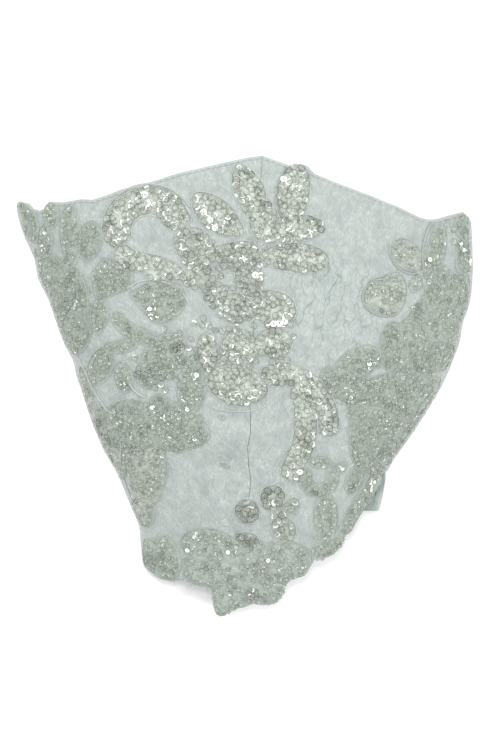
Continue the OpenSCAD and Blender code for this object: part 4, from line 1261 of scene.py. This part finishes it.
def make_looks():
    """Every material, by the short name that the tables use."""
    return {
        "net": net_material("bridal_net", NET_LIGHT, NET_DARK),
        "palm_net": net_material("palm_net", (0.39, 0.45, 0.41), (0.315, 0.37, 0.335)),
        "lining": weave_material("lining_cloth", (0.50, 0.54, 0.52), (0.42, 0.46, 0.44), 0.35),
        "hem": weave_material("hem_net", (0.37, 0.41, 0.39), (0.30, 0.335, 0.32), 0.6),
        "palm_tape": weave_material("palm_tape", (0.34, 0.39, 0.36), (0.30, 0.35, 0.32), 0.5),
        "thread": weave_material("thread", THREAD_PALE, THREAD_GREY, 0.3),
        "tape": weave_material("seam_tape", (0.30, 0.33, 0.315), (0.23, 0.255, 0.24)),
        "pale_ground": satin_material("pale_satin_ground", (0.42, 0.46, 0.40), (0.23, 0.26, 0.225)),
        "light_ground": satin_material("light_satin_ground", (0.52, 0.56, 0.50), (0.31, 0.345, 0.30)),
        "deep_ground": satin_material("deep_satin_ground", (0.33, 0.38, 0.325), (0.17, 0.205, 0.168)),
        "filler": satin_material("net_ground", (0.37, 0.42, 0.375), (0.235, 0.275, 0.24)),
        "cord": weave_material("outline_cord", (0.44, 0.48, 0.455), (0.33, 0.365, 0.34), roughness=0.5),
        "deep_cord": weave_material("deep_cord", (0.34, 0.38, 0.345), (0.25, 0.285, 0.26), roughness=0.6),
        "net_cord": weave_material("net_cord", (0.41, 0.45, 0.425), (0.32, 0.355, 0.33), roughness=0.6),
        # a dark cord that stands for the shadow beside the right blossoms: painted shadow
        "shadow_cord": weave_material("shadow_cord", (0.31, 0.35, 0.32), (0.235, 0.27, 0.245),
                                      roughness=0.5),
        "sequin": gloss_material("clear_sequin", (0.40, 0.44, 0.385), 0.16, 0.5, 0.22),
        # painted shade on the rims of the clear and the smoky sequins
        "rim": gloss_material("sequin_rim", (0.11, 0.13, 0.105), 0.22, 0.7, 0.3),
        # painted glints on the sequin cups and the seed beads
        "glint": gloss_material("glint", (0.66, 0.69, 0.645), 0.14, 0.95, 0.2),
        # painted highlights: white sequins at the bright places, and their rims
        "painted_highlight": gloss_material("painted_highlight_sequin", (0.92, 0.92, 0.90), 0.12, 1.0, 0.04),
        "painted_highlight_rim": gloss_material("painted_highlight_rim", (0.60, 0.64, 0.59), 0.16, 0.9, 0.05),
        "smoke": gloss_material("smoke_sequin", (0.25, 0.28, 0.245), 0.16, 0.65),
        "smoke_rim": gloss_material("smoke_rim", (0.032, 0.042, 0.033), 0.2, 0.95),
    }


def make_trims(looks):
    """The lace motifs and the free cords."""
    trims = []
    for seed, (name, (grade, shapes)) in enumerate(MOTIFS.items(), 100):
        trims += make_motif(name, grade, shapes, looks, seed)
    for name, lines in CORDS.items():
        radius, lift, look = CORD_LOOKS[name]
        points, faces = join([cord_on_net(line, radius, lift) for line in lines])
        cords = piece(name + "_twisted", points, faces, [looks[look]], "cord")
        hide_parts(name)
        trims.append(cords)
    return trims


def make_back(side, word, looks):
    """One half of the net back with its lining and its hem."""
    back, points = make_half(side, "net_back_" + word, 0, NET_T, looks["net"], "net", 230, 240, 0)
    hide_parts("back_net_" + word)
    under, under_points = make_half(side, "lining_" + word, LINING_DEPTH, LINING_T, looks["lining"],
                                    "lining", 90, 100, 1.6)
    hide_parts("back_lining_" + word)
    x, y = points[:, 0, 0], points[:, 0, 1] - 0.55
    inner = np.abs(x - middle(y)) < 0.97 * half(y)
    p, n = on_surface(x[inner], y[inner])
    threaded = [looks["hem"], looks["thread"]]
    edge = make_band("arm_hem_fold_" + word, p + n * 0.02, n, 1.1, 0.2, threaded, "hem", [-0.3])
    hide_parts("arm_hem_" + word)


TAPE_LIFT = 0.02    # of the tapes over the palm


def palm_band(name, x, y, width, thick, looks, stitch_row):
    line = np.column_stack([x, y, palm_top(x, y) + TAPE_LIFT])
    up = np.tile((0.0, 0.0, 1.0), (len(line), 1))
    return make_band(name, line, up, width, thick, [looks["palm_tape"]] * 2, "tape", [stitch_row])


def make_tapes(looks):
    """The centre seam's tape, the side seams and the palm's two hems."""
    y = np.linspace(74.4, -70, 300)
    p, n = on_surface(lookup(y, SEAM), y)
    seam = make_band("centre_seam_tape", p - n * (NET_T + 0.62), n, 1.6, 0.5,
                     [looks["tape"], looks["thread"]], "tape", [-0.25, 0.25])
    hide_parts("centre_seam")
    for word, edge_x, way in (("left", palm_left, 1), ("right", palm_right, -1)):
        y = np.linspace(PALM_TOP - 1, PALM_END + 1, 160)
        tape = palm_band("side_seam_tape_" + word, edge_x(y) + way * 1.6, y, 1.6, 0.16, looks, 0.25)
        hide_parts("side_seam_" + word)
    for word, at, inset in (("arm", PALM_TOP - 1.2, 3.4), ("hand", PALM_END + 1.1, 0.6)):
        x = np.linspace(float(palm_left(at)) + inset, float(palm_right(at)) - inset, 120)
        hem = palm_band(f"palm_{word}_hem_fold", x, np.full(len(x), at), 2.2, 0.18, looks, -0.3)
        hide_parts(f"palm_{word}_hem")


def main():
    make_camera()
    make_lights()
    make_floor()
    looks = make_looks()
    trims = make_trims(looks)
    for side, word in ((-1, "left"), (1, "right")):
        make_back(side, word, looks)
    palm, palm_points = make_palm(looks["palm_net"])
    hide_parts("palm_net")
    make_tapes(looks)


main()
